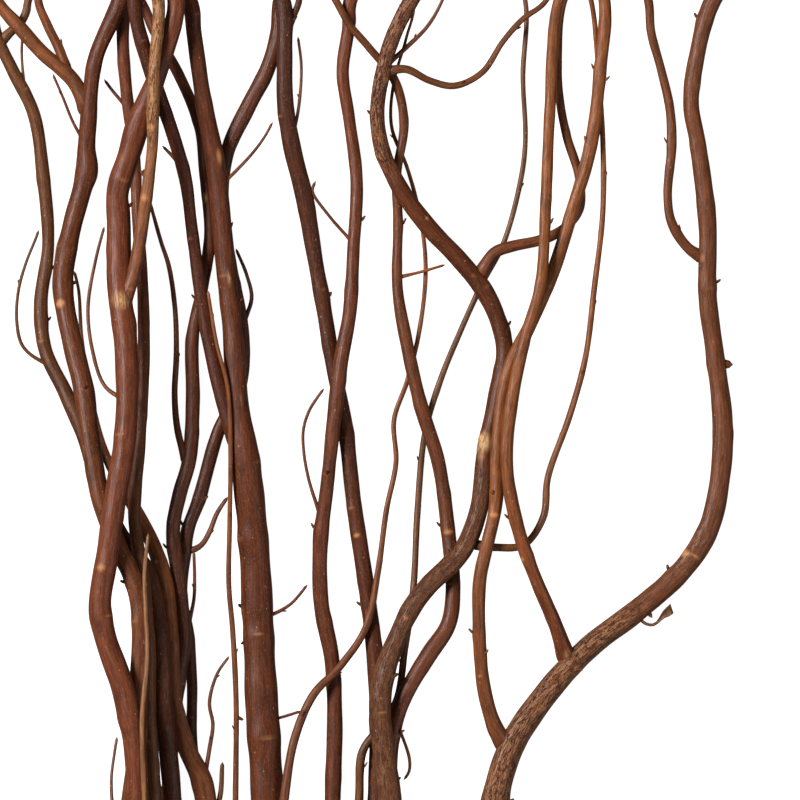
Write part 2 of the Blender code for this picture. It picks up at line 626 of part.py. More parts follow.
def bud(name, shoot, ring, side):
    """A small pointed bud that leans towards the tip, its foot sunk in the shoot."""
    x, y = shoot.flat[ring]
    run = shoot.flat[ring + 1] - shoot.flat[ring - 1]
    along = math.atan2(run[1], run[0])
    away = along + side * math.pi / 2
    depth = shoot.radius[ring] * 0.93 - BUD_SUNK
    foot = place(x + depth * math.cos(away), y + depth * math.sin(away), shoot.height[ring])
    points = math.cos(BUD_LEAN) * Vector((math.cos(along), math.sin(along), 0))
    points += math.sin(BUD_LEAN) * Vector((math.cos(away), math.sin(away), 0))
    mesh = bpy.data.meshes.new(name)
    cone = bmesh.new()
    bmesh.ops.create_cone(
        cone,
        cap_ends=True,
        segments=4,
        radius1=BUD_RADIUS * MM,
        radius2=BUD_RADIUS * 0.35 * MM,
        depth=BUD_LENGTH * MM,
        matrix=Matrix.Translation((0, 0, (BUD_LENGTH / 2 - BUD_SUNK) * MM)),
    )
    cone.to_mesh(mesh)
    cone.free()
    made = bpy.data.objects.new(name, mesh)
    made.matrix_world = Matrix.Translation(foot) @ points.to_track_quat("Z", "Y").to_matrix().to_4x4()
    return made


def buds_of(name, shoot):
    """Buds by turns on the left and right of a shoot, on its thicker length."""
    made = []
    side = 1
    run = BUD_EVERY / 2
    for ring in range(1, len(shoot.flat) - 1):
        run += np.linalg.norm(shoot.flat[ring] - shoot.flat[ring - 1])
        if run >= BUD_EVERY and shoot.rows[ring, 2] >= BUD_LEAST_STEM:
            made.append(bud(f"{name}_bud_{ring}", shoot, ring, side))
            side = -side
            run = 0.0
    return made


def joined(main, pieces, cutters):
    """The main mesh with the pieces fused to it in one union."""
    roots = bpy.data.collections.new(main.name + "_roots")
    cutters.children.link(roots)
    for piece in pieces:
        roots.objects.link(piece)
        piece.display_type = "WIRE"
        piece.hide_render = True
    union = main.modifiers.new("grown together", "BOOLEAN")
    union.operation = "UNION"
    union.operand_type = "COLLECTION"
    union.collection = roots
    union.solver = "MANIFOLD"
    bpy.context.view_layer.update()
    mesh = bpy.data.meshes.new_from_object(main.evaluated_get(bpy.context.evaluated_depsgraph_get()))
    main.modifiers.clear()
    main.data = mesh
    for piece in pieces:
        bpy.data.objects.remove(piece)
    bpy.data.collections.remove(roots)


def bark(kind):
    """Matt brown bark of one of the few colours in the bunch."""
    material = bpy.data.materials.get("bark_" + kind)
    if material is None:
        material = bpy.data.materials.new("bark_" + kind)
        material.use_nodes = True
        shader = material.node_tree.nodes["Principled BSDF"]
        shader.inputs["Base Color"].default_value = (*BARK[kind], 1)
        shader.inputs["Roughness"].default_value = 0.5
        shader.inputs["Metallic"].default_value = 0.0
    return material


def make_stem(name, shoots, kind, bunch, cutters):
    """One node: the main shoot with its forks, twigs and buds grown together."""
    main = tube(name, shoots[0])
    main.name = name
    bunch.objects.link(main)
    pieces = [tube(f"{name}_twig_{k}", shoot) for k, shoot in enumerate(shoots[1:])]
    for k, shoot in enumerate(shoots):
        if shoot.sides == STEM_SIDES:
            pieces += buds_of(f"{name}_{k}", shoot)
    if pieces:
        joined(main, pieces, cutters)
    main.data.materials.clear()
    main.data.materials.append(bark(kind))
    main.data.shade_smooth()
    main.data.set_sharp_from_angle(angle=math.radians(75))


def main():
    for old in list(bpy.data.objects):
        bpy.data.objects.remove(old)
    bunch = bpy.data.collections.new("willow_stems")
    cutters = bpy.data.collections.new("cutters")
    for group in (bunch, cutters):
        bpy.context.scene.collection.children.link(group)
    cutters.hide_render = True
    stems = lay_all(random.Random(SEED))
    for name, shoots in stems.items():
        make_stem(name, shoots, STEMS[name]["bark"], bunch, cutters)


main()
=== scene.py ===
"""Looks of the laid bunch of curly willow stems: fine bark, nodes, buds, scars and cut ends.

Every stem of the CAD model is replaced by one finely modelled piece on the same route. The routes,
the curling rule and the laying rule repeat those of the CAD source, in millimetres.
"""

import math
import random

import bpy
import numpy as np
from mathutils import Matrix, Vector


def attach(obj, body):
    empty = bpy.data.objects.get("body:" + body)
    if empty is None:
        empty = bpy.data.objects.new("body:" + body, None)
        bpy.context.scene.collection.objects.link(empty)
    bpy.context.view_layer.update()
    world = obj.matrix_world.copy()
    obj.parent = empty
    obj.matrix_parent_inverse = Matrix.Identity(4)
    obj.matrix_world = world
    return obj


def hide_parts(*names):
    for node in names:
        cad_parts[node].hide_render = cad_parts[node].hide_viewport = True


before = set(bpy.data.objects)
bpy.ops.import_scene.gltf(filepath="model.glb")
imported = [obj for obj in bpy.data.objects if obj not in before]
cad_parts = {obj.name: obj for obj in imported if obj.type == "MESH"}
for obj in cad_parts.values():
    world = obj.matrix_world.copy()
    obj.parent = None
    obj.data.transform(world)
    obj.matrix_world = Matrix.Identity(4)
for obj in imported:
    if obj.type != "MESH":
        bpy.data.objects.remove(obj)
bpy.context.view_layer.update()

MM = 0.001

# Origin of the routes in the frame
CENTRE_X = -6.8
CENTRE_Y = 94.1

# Camera and size of the floor
VIEW_SIZE = 0.320  # width of the photographed square at the height of the upper stems
LENS = 337.0
SENSOR = 36.0
VIEW_HEIGHT = 0.016
FLOOR_SIZE = 6.0

# Tubes
STEM_SIDES = 6
TWIG_SIDES = 4
FULLNESS = {STEM_SIDES: 1.05, TWIG_SIDES: 1.16}  # corner radius over true radius, to keep the bulk
TWIG_BELOW = 3.0  # a branch thinner than this at its root has fewer sides
SAMPLE = 2.0
MOST_TURN = math.radians(14)
MOST_SPAN = 30.0
LEAST_SPAN = 9.0
THINNEST = 1.1

# How a shoot goes on past its last point
SEED = 7
LEAVES_VIEW = 155.5  # a branch whose last point lies beyond this grows on
REACH = 66.0  # length still to grow, over thickness there
GROW_STEP = 22.0
SWING = (0.42, 0.62)
WAVE = (125.0, 175.0)
FAN = 0.0011
FAN_CENTRE = -25.0
TIP = 1.3
TWIG_EVERY = 5  # control points from one side twig to the next
TWIG_LENGTH = (60.0, 115.0)
TWIG_TURN = (0.5, 0.8)

# How stems rest on each other
GAP = 0.5
CHECK_SPAN = 5.0
BEND = 0.0022  # the most that a resting shoot curves in height, per mm
SETTLE = 170.0  # how soon a twig comes down to the surface from its parent's height
RISE = 22.0  # length over which a twig leaves its parent's height
MERGE = 5.0  # a twig ignores its parent within this many times their radii
SNAP = 0.35
EVEN_OUT = 16.0  # length over which heights are evened out
LIFT_SPAN = 30.0  # length over which a shoot that lies too low is lifted

# Buds of the CAD model
BUD_EVERY = 95.0
BUD_LEAST_STEM = 3.2

# Fine skin of a shoot
FINE_STEP = 0.8  # spacing of the samples along the smooth route
SPAN_IN_VIEW = 1.4  # spacing of the rings
SPAN_OUTSIDE = 2.2
VIEW_REACH = 172.0  # what lies nearer in Y is in view
SIDES_BY_WIDTH = ((7.0, 28), (4.4, 22), (2.6, 16), (1.6, 12), (0.0, 8))  # least thickness, sides
NODE_SPACING = (22.0, 38.0)
NODE_TURN = math.radians(137.5)
BUD_CHANCE = ((3.4, 0.45), (99.0, 0.12))  # up to which thickness, and how likely
NODE_SWELL = 0.09
NODE_LENGTH = 2.6
COLLAR = 0.34  # how much a twig widens where it leaves its parent
SINK = 0.3  # how deep a twig's root sinks below its parent's axis
GROWN = 20  # first number of the shoots past the view
ROUNDER = 1.07  # the round tube over the solid's flat-sided one
FLATTER = 0.87  # height over breadth of a section, so that crossing stems stay clear
WOBBLES = ((7.3, 0.022), (3.1, 0.018))  # length for one radian, and share of the radius
OVAL = 0.035
OVAL_TWIST = 70.0
RIDGES = ((5, 0.011), (8, 0.009), (11, 0.007))  # number round the shoot, and share of the radius
CRACKED_RELIEF = 2.2
CRACK_FADE = 12.0  # length over which cracked bark fades into smooth bark
PHASES = (0, 6)
SCAR_SWELL = 0.24
MARK_SWELL = 0.10
FULL_FOR = 120.0  # length over which a fork or twig goes from its first colour to its last
MAIN_FADE = (-150.0, 300.0)  # the same for a main shoot: where in Y it starts, and how long it is
LITTLE_BUD = (2.4, 0.62)  # length and radius
BUD_RINGS = 6
BUD_ROUND = 8
CUT_SLANT = 0.22
CUT_RINGS = (1.0, 0.93, 0.9, 0.62, 0.34, 0.16, 0.13)  # radii on a cut, over the shoot's
PITH_DEPTH = 0.12
LEAF_HEIGHT = 3.9
LEAF_THICK = 0.36
LEAF_ROWS = 14
LEAF_ACROSS = 5
LOWEST = 0.05  # nothing lies nearer to the surface

# Floor and lights
FLOOR_LEVEL = -0.0004
FLOOR_GREY = (0.3, 0.3, 0.3, 1)
WHITE = (1, 1, 1, 1)
FLOOR_GLOW = 0.96
WORLD_GLOW = 0.2
LIGHTS = {
    "main": ((-1.5, 0.6, 1.9), 0.7, 100),  # place and size in metres, power in watts
    "fill": ((1.8, -0.9, 1.7), 1.6, 20),
}

# Colours, as linear red, green and blue
PORE = (0.40, 0.21, 0.10)
RIDGE = (0.30, 0.150, 0.068)
# painted shade: near-black colour laid into the grooves of cracked bark
GROOVE_SHADE = (0.022, 0.008, 0.004)
FLECK = (0.42, 0.20, 0.085)
NODE = (0.45, 0.19, 0.07)
TORN_LIGHT = (0.62, 0.37, 0.16)
TORN_DARK = (0.22, 0.10, 0.045)
CUT_LIGHT = (0.72, 0.49, 0.25)
CUT_DARK = (0.50, 0.30, 0.13)

# Shades of a hue, as factors
DULL = (0.66, 0.62, 0.60)
LIVELY = (1.32, 1.30, 1.25)
PALE = (1.7, 1.65, 1.5)
DEEP = (0.42, 0.38, 0.40)

# Noises of the bark: stretch along the shoot, scale, detail and roughness
NOISES = {
    "fibre": (0.10, 1.35, 4.0, 0.6),
    "streak": (0.045, 0.42, 2.0, 0.55),
    "patch": (0.5, 0.16, 3.0, 0.55),
    "speck": (0.6, 2.3, 2.0, 0.7),
    "fleck": (0.28, 2.9, 2.0, 0.7),
    "weave": (0.17, 0.95, 3.0, 0.6),
}
PORES = (0.75, 0.26)  # stretch and scale
ROUGH = (0.46, 0.32)
SHEEN = 0.16
BUMP = (0.55, 0.0006)  # strength and metres

# Bark colours
HUES = {
    "red": (0.116, 0.030, 0.012),
    "chestnut": (0.080, 0.020, 0.007),
    "maroon": (0.058, 0.014, 0.006),
    "dark": (0.048, 0.014, 0.007),
    "brown": (0.118, 0.036, 0.013),
    "orange": (0.185, 0.058, 0.016),
    "tan": (0.280, 0.118, 0.042),
    "olive": (0.100, 0.037, 0.013),
    "straw": (0.190, 0.086, 0.036),
    "umber": (0.082, 0.026, 0.009),
    "grey": (0.120, 0.052, 0.026),
}

# Colour of each shoot from its root to where it leaves the view, main shoot first. The last pair of a
# stem is that of its further shoots as well.
TONES = {
    "stem_01": [("maroon", "olive"), ("olive", "olive"), ("olive", "tan")],
    "stem_02": [("brown", "chestnut"), ("brown", "orange"), ("brown", "orange"), ("red", "brown")],
    "stem_03": [("brown", "orange"), ("brown", "brown"), ("olive", "olive")],
    "stem_04": [("red", "red"), ("red", "tan"), ("brown", "brown"), ("grey", "grey")],
    "stem_05": [("olive", "red"), ("red", "red")],
    "stem_06": [("straw", "straw")],
    "stem_07": [("dark", "red"), ("chestnut", "brown")],
    "stem_08": [("brown", "orange")],
    "stem_09": [("dark", "chestnut"), ("dark", "dark"), ("brown", "brown")],
    "stem_10": [
        ("chestnut", "chestnut"), ("maroon", "maroon"), ("red", "red"), ("brown", "brown"),
        ("red", "red"), ("red", "red"), ("brown", "brown"),
    ],
    "stem_11": [("chestnut", "dark"), ("maroon", "brown"), ("brown", "brown")],
    "stem_12": [("chestnut", "red"), ("brown", "brown")],
    "stem_13": [("brown", "orange")],
    "stem_14": [("chestnut", "brown"), ("brown", "brown"), ("orange", "orange")],
    "stem_15": [("olive", "grey")],
    "stem_16": [("umber", "chestnut"), ("olive", "brown"), ("brown", "brown"), ("olive", "orange")],
    "stem_17": [("brown", "brown"), ("brown", "orange"), ("red", "orange"), ("brown", "brown")],
}

# Old cracked bark: stem, shoot, from and to in Y along the route, and how strong
CRACKED = {
    "stem_17": [(0, -500, -78, 1.0), (0, -78, -50, 0.35)],
    "stem_16": [(0, -500, -24, 0.32), (0, 86, 700, 0.9)],
    "stem_10": [(0, -500, -200, 0.5)],
    "stem_04": [(1, 98, 700, 1.0)],
}

# Marks on the bark of a stem: x, y, half length, half width, kind and strength
MARKS = {
    "stem_02": [(-135.6, 37.5, 1.7, 2.0, "mark", 1.0)],
    "stem_04": [
        (-111.2, 39.4, 4.4, 4.8, "scar", 0.55),
        (-101.8, 81.0, 1.8, 2.0, "mark", 0.7),
        (-99.4, 109.0, 1.6, 2.6, "mark", 0.6),
        (-118.6, -66.6, 2.0, 2.0, "mark", 0.7),
    ],
    "stem_07": [(-78.6, 81.6, 2.2, 1.4, "scar", 0.7)],
    "stem_10": [
        (-68.6, 49.0, 4.2, 0.9, "scar", 0.55),
        (-63.8, 0.0, 4.8, 0.8, "scar", 0.4),
        (-72.6, 98.0, 4.0, 1.4, "mark", 0.7),
        (-56.8, -94.4, 1.2, 3.0, "mark", 0.5),
    ],
    "stem_11": [(-17.2, -54.8, 1.2, 1.4, "mark", 0.8)],
    "stem_12": [(-18.0, 23.6, 1.2, 1.2, "mark", 0.6)],
    "stem_14": [(19.4, -53.0, 1.4, 2.4, "mark", 0.7)],
    "stem_16": [
        (33.0, -16.6, 4.2, 3.6, "scar", 1.0),
        (32.5, -22.5, 2.6, 2.6, "mark", 0.5),
        (2.0, -88.0, 1.6, 1.2, "mark", 0.6),
        (11.0, 72.5, 1.3, 0.9, "mark", 0.7),
        (29.0, 50.5, 1.6, 1.4, "mark", 0.4),
        (-7.0, -124.8, 0.7, 3.0, "mark", 0.5),
    ],
    "stem_17": [
        (115.0, -61.2, 1.8, 1.9, "mark", 1.0),
        (118.0, -63.0, 0.5, 3.4, "mark", 0.6),
        (57.5, -124.0, 2.4, 0.8, "mark", 0.6),
        (37.6, -46.6, 1.3, 2.0, "mark", 0.9),
        (49.2, -64.0, 1.3, 1.0, "mark", 0.8),
        (32.0, -110.0, 0.9, 0.8, "mark", 0.7),
        (66.6, -101.0, 2.4, 1.8, "scar", 0.5),
        (44.0, -138.0, 2.0, 1.5, "mark", 0.35),
        (121.5, 57.5, 2.6, 1.6, "mark", 0.5),
    ],
}


# Routes that the photo shows, in millimetres, in the order in which the stems are laid. For each stem
# its kind of bark, its main shoot and then its forks and twigs, as x, y and thickness from the root.
STEMS = {
    "stem_09": [
        "red",
        [(-70, -338, 5.6), (-74, -290, 5.4), (-70, -240, 5.2), (-74, -195, 5), (-79, -160, 4.8),
         (-83.4, -140, 4.4), (-83.6, -114, 4), (-85, -94, 4.4), (-88, -78, 4.8), (-86.6, -62, 5),
         (-85.2, -52, 5), (-80.8, -40, 5.2), (-72.6, -11.6, 4.8), (-64.2, 5, 4.6), (-62.8, 24, 4.4),
         (-64.6, 38, 4.4), (-68, 54, 4.5), (-71.5, 78, 5), (-69.6, 99, 5.2), (-61, 118, 5.8),
         (-53.3, 133, 5.8), (-49, 148, 5.7), (-48, 160, 5.6)],
        [(-62.8, 31, 1.6), (-59.6, 41, 1.5), (-61.5, 50, 1.3), (-66, 61, 1.1)],
        [(-86.6, -60.8, 2.2), (-82.6, -60, 2.1), (-79.4, -57.8, 2), (-76.4, -52.6, 1.9),
         (-73.6, -45.6, 1.7), (-69.2, -38.8, 1.4)],
        [(-85.2, -91, 1.6), (-82.8, -80, 1.3), (-82.5, -70, 1.2), (-82.8, -60.6, 1.2)],
    ],
    "stem_07": [
        "brown",
        [(-84, -348, 6.6), (-90, -300, 6.4), (-88, -250, 6.2), (-94, -200, 6), (-93, -160, 5.6),
         (-90.4, -124, 5.2), (-88.4, -110, 5.2), (-86.6, -96, 5.2), (-88.8, -72, 5.2), (-91, -52, 5.2),
         (-88.5, -38, 5.2), (-84.6, -24, 5.2), (-83.2, 0, 5.3), (-83.4, 25, 4.8), (-79, 47, 4.4),
         (-76.4, 67, 4.4), (-78.5, 90, 4.2), (-80.6, 110, 4.2), (-88.6, 130, 4.3), (-98.6, 148, 3.9),
         (-104, 160, 3.6)],
        [(-85.6, -26, 3), (-89.3, -12, 2.6), (-90.5, 2, 2.3), (-89.8, 18, 2.1), (-90.3, 36, 1.9),
         (-92.8, 53.6, 1.7), (-96, 63.6, 1.5), (-100.6, 80, 1.3)],
    ],
    "stem_03": [
        "olive",
        [(-80, -358, 9), (-76, -285, 8.8), (-80, -230, 8.6), (-77, -180, 8.4), (-79, -154, 8),
         (-85.6, -138.8, 7), (-90, -122, 6), (-91.7, -96, 6.2), (-94.2, -73, 6.4), (-97.4, -62, 6),
         (-102, -51.5, 5.6), (-109.5, -38, 4.6), (-117.8, -23, 3.6), (-124.2, 0, 2.4), (-128, 25, 1.6),
         (-129.2, 44, 1.2), (-131, 52, 1.1)],
        [(-78.6, -153, 1.8), (-76.4, -140, 1.6), (-75, -130, 1.5), (-76.4, -121.5, 1.4),
         (-73.4, -110, 1.2), (-68.4, -102.6, 1.1)],
        [(-77.5, -172, 2.2), (-72.4, -160, 2), (-71.2, -145, 1.6)],
    ],
    "stem_01": [
        "olive",
        [(-99, -352, 8), (-99, -310, 7.8), (-98, -255, 7.6), (-90, -205, 7.4), (-91, -160, 7),
         (-94.3, -124, 6.8), (-96, -96, 6.4), (-101, -69, 6), (-111, -55.5, 6), (-120, -37, 5.8),
         (-126, -16, 5.6), (-134, 2.5, 5.5), (-142.4, 20, 5.2), (-144.3, 39, 5.2), (-141.4, 62, 4.8),
         (-143.5, 91, 5.1), (-147.2, 115, 5), (-155.6, 132.4, 4.8), (-162, 146, 4.8), (-165, 157, 4.7)],
        [(-140, 13.6, 1.6), (-148, 18, 1.4), (-152, 22.6, 1.4), (-153.9, 32, 1.3), (-153.2, 44, 1.3),
         (-150.2, 55, 1.2), (-146.2, 65, 1.1), (-145, 68.4, 1.1)],
        [(-161.5, 143, 3.4), (-156.5, 148, 3.3), (-152.2, 152, 3.2), (-150.2, 156.4, 3),
         (-149.6, 160, 2.9)],
        [(-150.5, 121.5, 1.2), (-152, 139, 1.1), (-151.7, 147, 1.1)],
    ],
    "stem_05": [
        "red",
        [(-108, -342, 5.6), (-104, -300, 5.4), (-104, -250, 5.2), (-99.6, -200, 5), (-98, -160, 4.8),
         (-100, -124, 4.8), (-100, -100, 4.8), (-102.5, -72, 4.8), (-106, -47, 4.8), (-104, -15, 4.7),
         (-102.6, 12.8, 4.6), (-103, 42, 4.5), (-105.5, 75, 4.4), (-107, 101, 4.6), (-110, 125, 4.8),
         (-111.3, 148, 5), (-110, 160, 5)],
        [(-109.8, 117.6, 1.3), (-115.6, 124.4, 1.2), (-119, 129, 1.1)],
    ],
    "stem_02": [
        "red",
        [(-114, -360, 8.2), (-116, -300, 8), (-110, -250, 7.8), (-113, -200, 7.6), (-107.6, -160, 7.2),
         (-104.6, -138, 7), (-104, -110, 7), (-103.2, -90, 6.8), (-105.4, -74, 6.8), (-113, -57, 7),
         (-119.3, -39, 7), (-123.8, -14, 7.3), (-126.2, 4, 7.4), (-130.2, 20, 7.6), (-133.6, 35, 7.2),
         (-135, 48, 7.5), (-131.4, 70, 7.3), (-127.6, 84, 7.2), (-125.6, 92.5, 8), (-125.7, 101, 6.6),
         (-124.9, 112, 6.4), (-124, 124, 5.8), (-121.6, 138, 5.6), (-115, 153, 6.3), (-111.6, 161, 6.4)],
        [(-125.6, 114, 5), (-127.4, 121, 5.4), (-130.6, 127.4, 5.6), (-136, 133, 5.3), (-143, 138.8, 5.2),
         (-152.4, 149.2, 5.3), (-161.6, 160, 4.4)],
        [(-133.6, 131.2, 3.8), (-136.4, 140, 3.6), (-141.4, 150.4, 3.4), (-145, 160, 3.2)],
        [(-126, 102, 1.4), (-131.4, 112, 1.2), (-135.3, 121.6, 1.1), (-139.4, 131, 1.1)],
    ],
    "stem_11": [
        "brown",
        [(-18, -362, 7.6), (-22, -300, 7.4), (-20, -250, 7.2), (-12, -200, 7), (-9.6, -160, 6.6),
         (-9, -128, 6.5), (-10.4, -100, 6.4), (-14, -72, 6.3), (-18.4, -42.4, 6.1), (-22.4, -8, 5.8),
         (-26.8, 13, 5.7), (-30, 33, 5.7), (-34.2, 57, 5.9), (-38.3, 81, 6.5), (-43.2, 101, 6.7),
         (-46, 119, 6), (-46.3, 140, 5.9), (-47.2, 160, 6)],
        [(-46.6, 145, 2.8), (-42.8, 154, 2.6), (-40.4, 161, 2.4)],
        [(-43.5, 103, 1.3), (-40.6, 118, 1.2), (-39.6, 134, 1.1), (-41, 146, 1.1)],
    ],
    "stem_10": [
        "red",
        [(-56, -366, 13.2), (-54, -320, 13), (-58, -265, 12.8), (-52, -210, 12.6), (-53.2, -160, 12.4),
         (-55.6, -121, 12), (-57, -90, 11.2), (-58.2, -66, 11.1), (-60.1, -42.4, 11), (-62.9, -18.4, 10.2),
         (-65.4, 0, 8.4), (-67, 26, 7.8), (-69.4, 48, 7.4), (-71.6, 72, 7.6), (-74.2, 96, 7.5),
         (-78.4, 118, 6.6), (-82.4, 146.4, 6), (-84.2, 160, 5.8)],
        [(-64, -20, 6.4), (-67.4, -11.5, 6.1), (-72, 4, 5.8), (-77, 26, 5.5), (-80.6, 48, 4.9),
         (-83.6, 70, 4.5), (-86, 89, 4.7), (-93, 113, 5), (-100.4, 134, 5.2), (-106, 160, 5.2)],
        [(-56.8, -88.6, 1.6), (-44.5, -82.4, 1.3), (-37, -74, 1.1)],
        [(-72.6, 85, 1.3), (-60, 98, 1.2), (-54.4, 105.4, 1.1), (-51, 111.6, 1.1)],
        [(-55.4, -129.4, 1.2), (-47, -127.2, 1.1), (-39.4, -124.8, 1.1)],
        [(-57.6, -95.4, 1.7), (-64.2, -98, 1.2)],
        [(-88.4, 95, 1.5), (-92.4, 99, 1.2), (-95.4, 102, 1.1)],
    ],
    "stem_08": [
        "tan",
        [(-66, -340, 3), (-64, -300, 2.8), (-70, -250, 2.6), (-66, -205, 2.4), (-66, -160, 2.1),
         (-65.7, -121, 2), (-67.1, -92, 2), (-68.6, -74, 1.9), (-68.2, -48, 1.8), (-67.9, -20, 1.7),
         (-69, 5, 1.5), (-73.5, 23, 1.4), (-77, 44, 1.2)],
        [(-65.6, -127, 1.2), (-62.6, -128.4, 1.1)],
    ],
    "stem_04": [
        "red",
        [(-104, -350, 9.2), (-108, -305, 9), (-112, -250, 8.8), (-104, -200, 8.6), (-104.4, -160, 8.2),
         (-105.6, -137, 8.4), (-110, -115, 8.8), (-117.2, -94, 8.7), (-119.3, -82, 8.5),
         (-116.4, -62, 8.6), (-113.2, -39, 8.6), (-109.7, -18.4, 8.6), (-108.5, 3, 8.6), (-109.4, 25, 8.9),
         (-111.8, 43.6, 9.2), (-112.2, 70, 8.7), (-112.6, 83, 8.4), (-108, 98, 8.4), (-104, 111.5, 8.6),
         (-98.4, 125, 7.1), (-93.8, 138, 6.4), (-89.2, 160, 6.4)],
        [(-111.4, 37, 5.4), (-106.4, 50, 5.2), (-102.6, 70.4, 4.8), (-100, 88, 4.5), (-98.6, 101, 4.3),
         (-98.3, 115, 4.7), (-97.6, 134, 4.4), (-96.3, 160, 4.8)],
        [(-108.8, -0.4, 1.7), (-117.4, 5.4, 1.5), (-122.6, 20, 1.4), (-124.4, 37, 1.3), (-121.4, 56, 1.2),
         (-118, 69.4, 1.1)],
        [(-107.6, -176, 1.4), (-113.4, -166, 1.3), (-115, -152, 1.2), (-113.8, -141, 1.1),
         (-112.7, -134, 1.1)],
    ],
    "stem_06": [
        "tan",
        [(-96, -332, 2.8), (-100, -290, 2.6), (-106, -245, 2.4), (-101, -200, 2.2), (-101.4, -160, 1.9),
         (-102.4, -127, 1.8), (-100.4, -102, 1.7), (-101, -84, 1.6), (-101.5, -68, 1.5), (-100, -53, 1.3)],
    ],
    "stem_12": [
        "red",
        [(-34, -356, 7.2), (-34, -310, 7), (-34, -255, 6.6), (-27, -205, 6.4), (-27, -160, 6),
         (-26.2, -128, 5.7), (-27.4, -104, 5.7), (-31.6, -82, 5.8), (-32, -58, 5.7), (-29.2, -34, 5.2),
         (-26.6, -9, 5.6), (-23.6, 16, 5.9), (-20.2, 35, 5.4), (-18.6, 62, 4.9), (-17.4, 88, 4.8),
         (-20.4, 113, 4.7), (-23, 132, 4.6), (-20.6, 150, 5), (-20, 160, 5.2)],
        [(-31.8, -47, 1.5), (-36.6, -32, 1.3), (-38.6, -21, 1.2), (-38.8, -12, 1.2), (-36.6, -4.6, 1.2),
         (-33.2, 1, 1.1), (-30.4, 4.8, 1.1)],
        [(-18.7, 62.8, 1.3), (-29, 74.6, 1.2), (-35.2, 84, 1.1), (-33.8, 88, 1.1)],
    ],
    "stem_15": [
        "tan",
        [(-24, -330, 4.2), (-16, -290, 4), (-12, -240, 3.8), (-18, -195, 3.6), (-16.4, -160, 3.4),
         (-15, -141, 3.3), (-8, -131, 3.1), (-1.6, -121, 2.9), (2, -100, 2.7), (5.4, -75, 2.6),
         (7, -45, 2.5), (10, -13.6, 2.4), (16.4, 8.4, 2.3), (24, 27, 2.2), (32.6, 46, 2.1),
         (41.8, 63.6, 2), (48.8, 90, 1.9), (50.4, 105, 1.8), (49.4, 130, 1.8), (50.4, 160, 1.8)],
    ],
    "stem_13": [
        "tan",
        [(-42, -345, 4.4), (-50, -305, 4.2), (-46, -250, 4), (-50, -200, 3.8), (-46.4, -160, 3.6),
         (-42, -135, 3.4), (-34.6, -118, 3.2), (-24, -106.8, 3), (-13.8, -91.6, 2.8), (-9, -70, 2.4),
         (-5.4, -44, 2.1), (-1.6, -25, 2), (-2.4, -8, 1.9), (3, 8, 1.8), (7.8, 28, 1.7), (10.3, 52, 1.6),
         (8.4, 72, 1.5), (3, 93, 1.4), (-3.4, 110, 1.3), (-2.6, 127, 1.2), (2.4, 145, 1.1),
         (5.6, 160, 1.1)],
    ],
    "stem_14": [
        "brown",
        [(-14, -340, 7), (-10, -295, 6.8), (-14, -245, 6.6), (-8, -200, 6.4), (-4.8, -160, 6),
         (-3.4, -136, 5.9), (-0.8, -125.6, 5.9), (3.2, -116, 5.9), (11.8, -101.8, 6.1), (19.4, -90, 5.9),
         (21.3, -76, 5.5), (19.6, -55, 5.3), (15.4, -25, 5.2), (8.6, -3, 5.3), (2.6, 23.2, 5),
         (-1, 45, 4.3), (-0.8, 72, 3.8), (-1.4, 90, 3.7), (1.6, 111, 3.6), (-2, 128, 3.4),
         (-12.4, 141.4, 3), (-20.5, 151, 2.8), (-25, 159, 2.7)],
        [(-6.4, 133.6, 2.1), (2.4, 141.4, 1.8), (11, 150, 1.5), (16.8, 160, 1.3)],
        [(-0.8, 49.2, 1.3), (9, 51.6, 1.2), (18.4, 54.4, 1.1)],
        [(-1.6, -129, 1.3), (1.6, -136.6, 1.2), (3.8, -144, 1.2), (3.6, -149, 1.1), (1.4, -152.4, 1.1)],
    ],
    "stem_16": [
        "brown",
        [(2, -352, 9.2), (8, -300, 9), (6, -250, 8.8), (-2, -200, 8.6), (-4, -160, 8.3), (-6.7, -138, 8.2),
         (-8, -122, 8), (-6.2, -109, 7.9), (-1, -95, 7.2), (4.8, -83, 7.1), (11.4, -74.4, 7.2),
         (25, -60.4, 7.2), (31.8, -43, 7), (34.2, -22, 6.9), (38.6, 0, 6.9), (42, 20, 6.6),
         (38.8, 33.6, 6.8), (33.4, 44.4, 6.9), (23.2, 57, 6.7), (13.2, 67.4, 6.9), (3, 80.3, 6.6),
         (-2.7, 90, 6.1), (-7, 100, 6.1), (-9.1, 114, 5.6), (-7, 131, 5.4), (-2.6, 146, 5.8),
         (4.4, 160, 5.8)],
        [(-6.4, 131.6, 3.2), (2.5, 132.6, 2.9), (12, 128, 2.7), (22, 126, 2.5), (33, 131.4, 2.4),
         (41.2, 143.6, 2.3), (49, 152.6, 2.2), (58.4, 160, 2.1)],
        [(31, 48.6, 5), (37.8, 59, 4.6), (45, 61.7, 4.4), (57, 64.4, 4.1), (66, 69, 3.9), (72, 77, 3.7),
         (71.8, 90, 3.5), (66.9, 106, 3.4), (64, 122, 3.3), (63.4, 140, 3.2), (65.4, 160, 3.2)],
        [(28, -57.6, 3.4), (38, -59, 3), (49.6, -58, 2.8), (57.4, -47, 2.7), (59.3, -31, 2.6),
         (68, -6.4, 2.5), (74.4, 17, 2.4), (78, 45, 2.3), (81.4, 75, 2.2), (81.4, 105, 2.1),
         (79.6, 133, 2), (76.8, 160, 2)],
    ],
    "stem_17": [
        "brown",
        [(22, -345, 11.6), (31, -290, 11.4), (37, -240, 11), (34, -195, 10.8), (38.2, -160, 10.4),
         (45, -138.4, 10), (60.6, -115.4, 9.1), (76.8, -98.4, 8.6), (95.2, -84.4, 8.2), (113, -68.6, 8),
         (123.8, -52, 7.8), (128.7, -30, 7.7), (129.5, -8, 7.4), (126.4, 19, 6.8), (123.5, 42, 6.7),
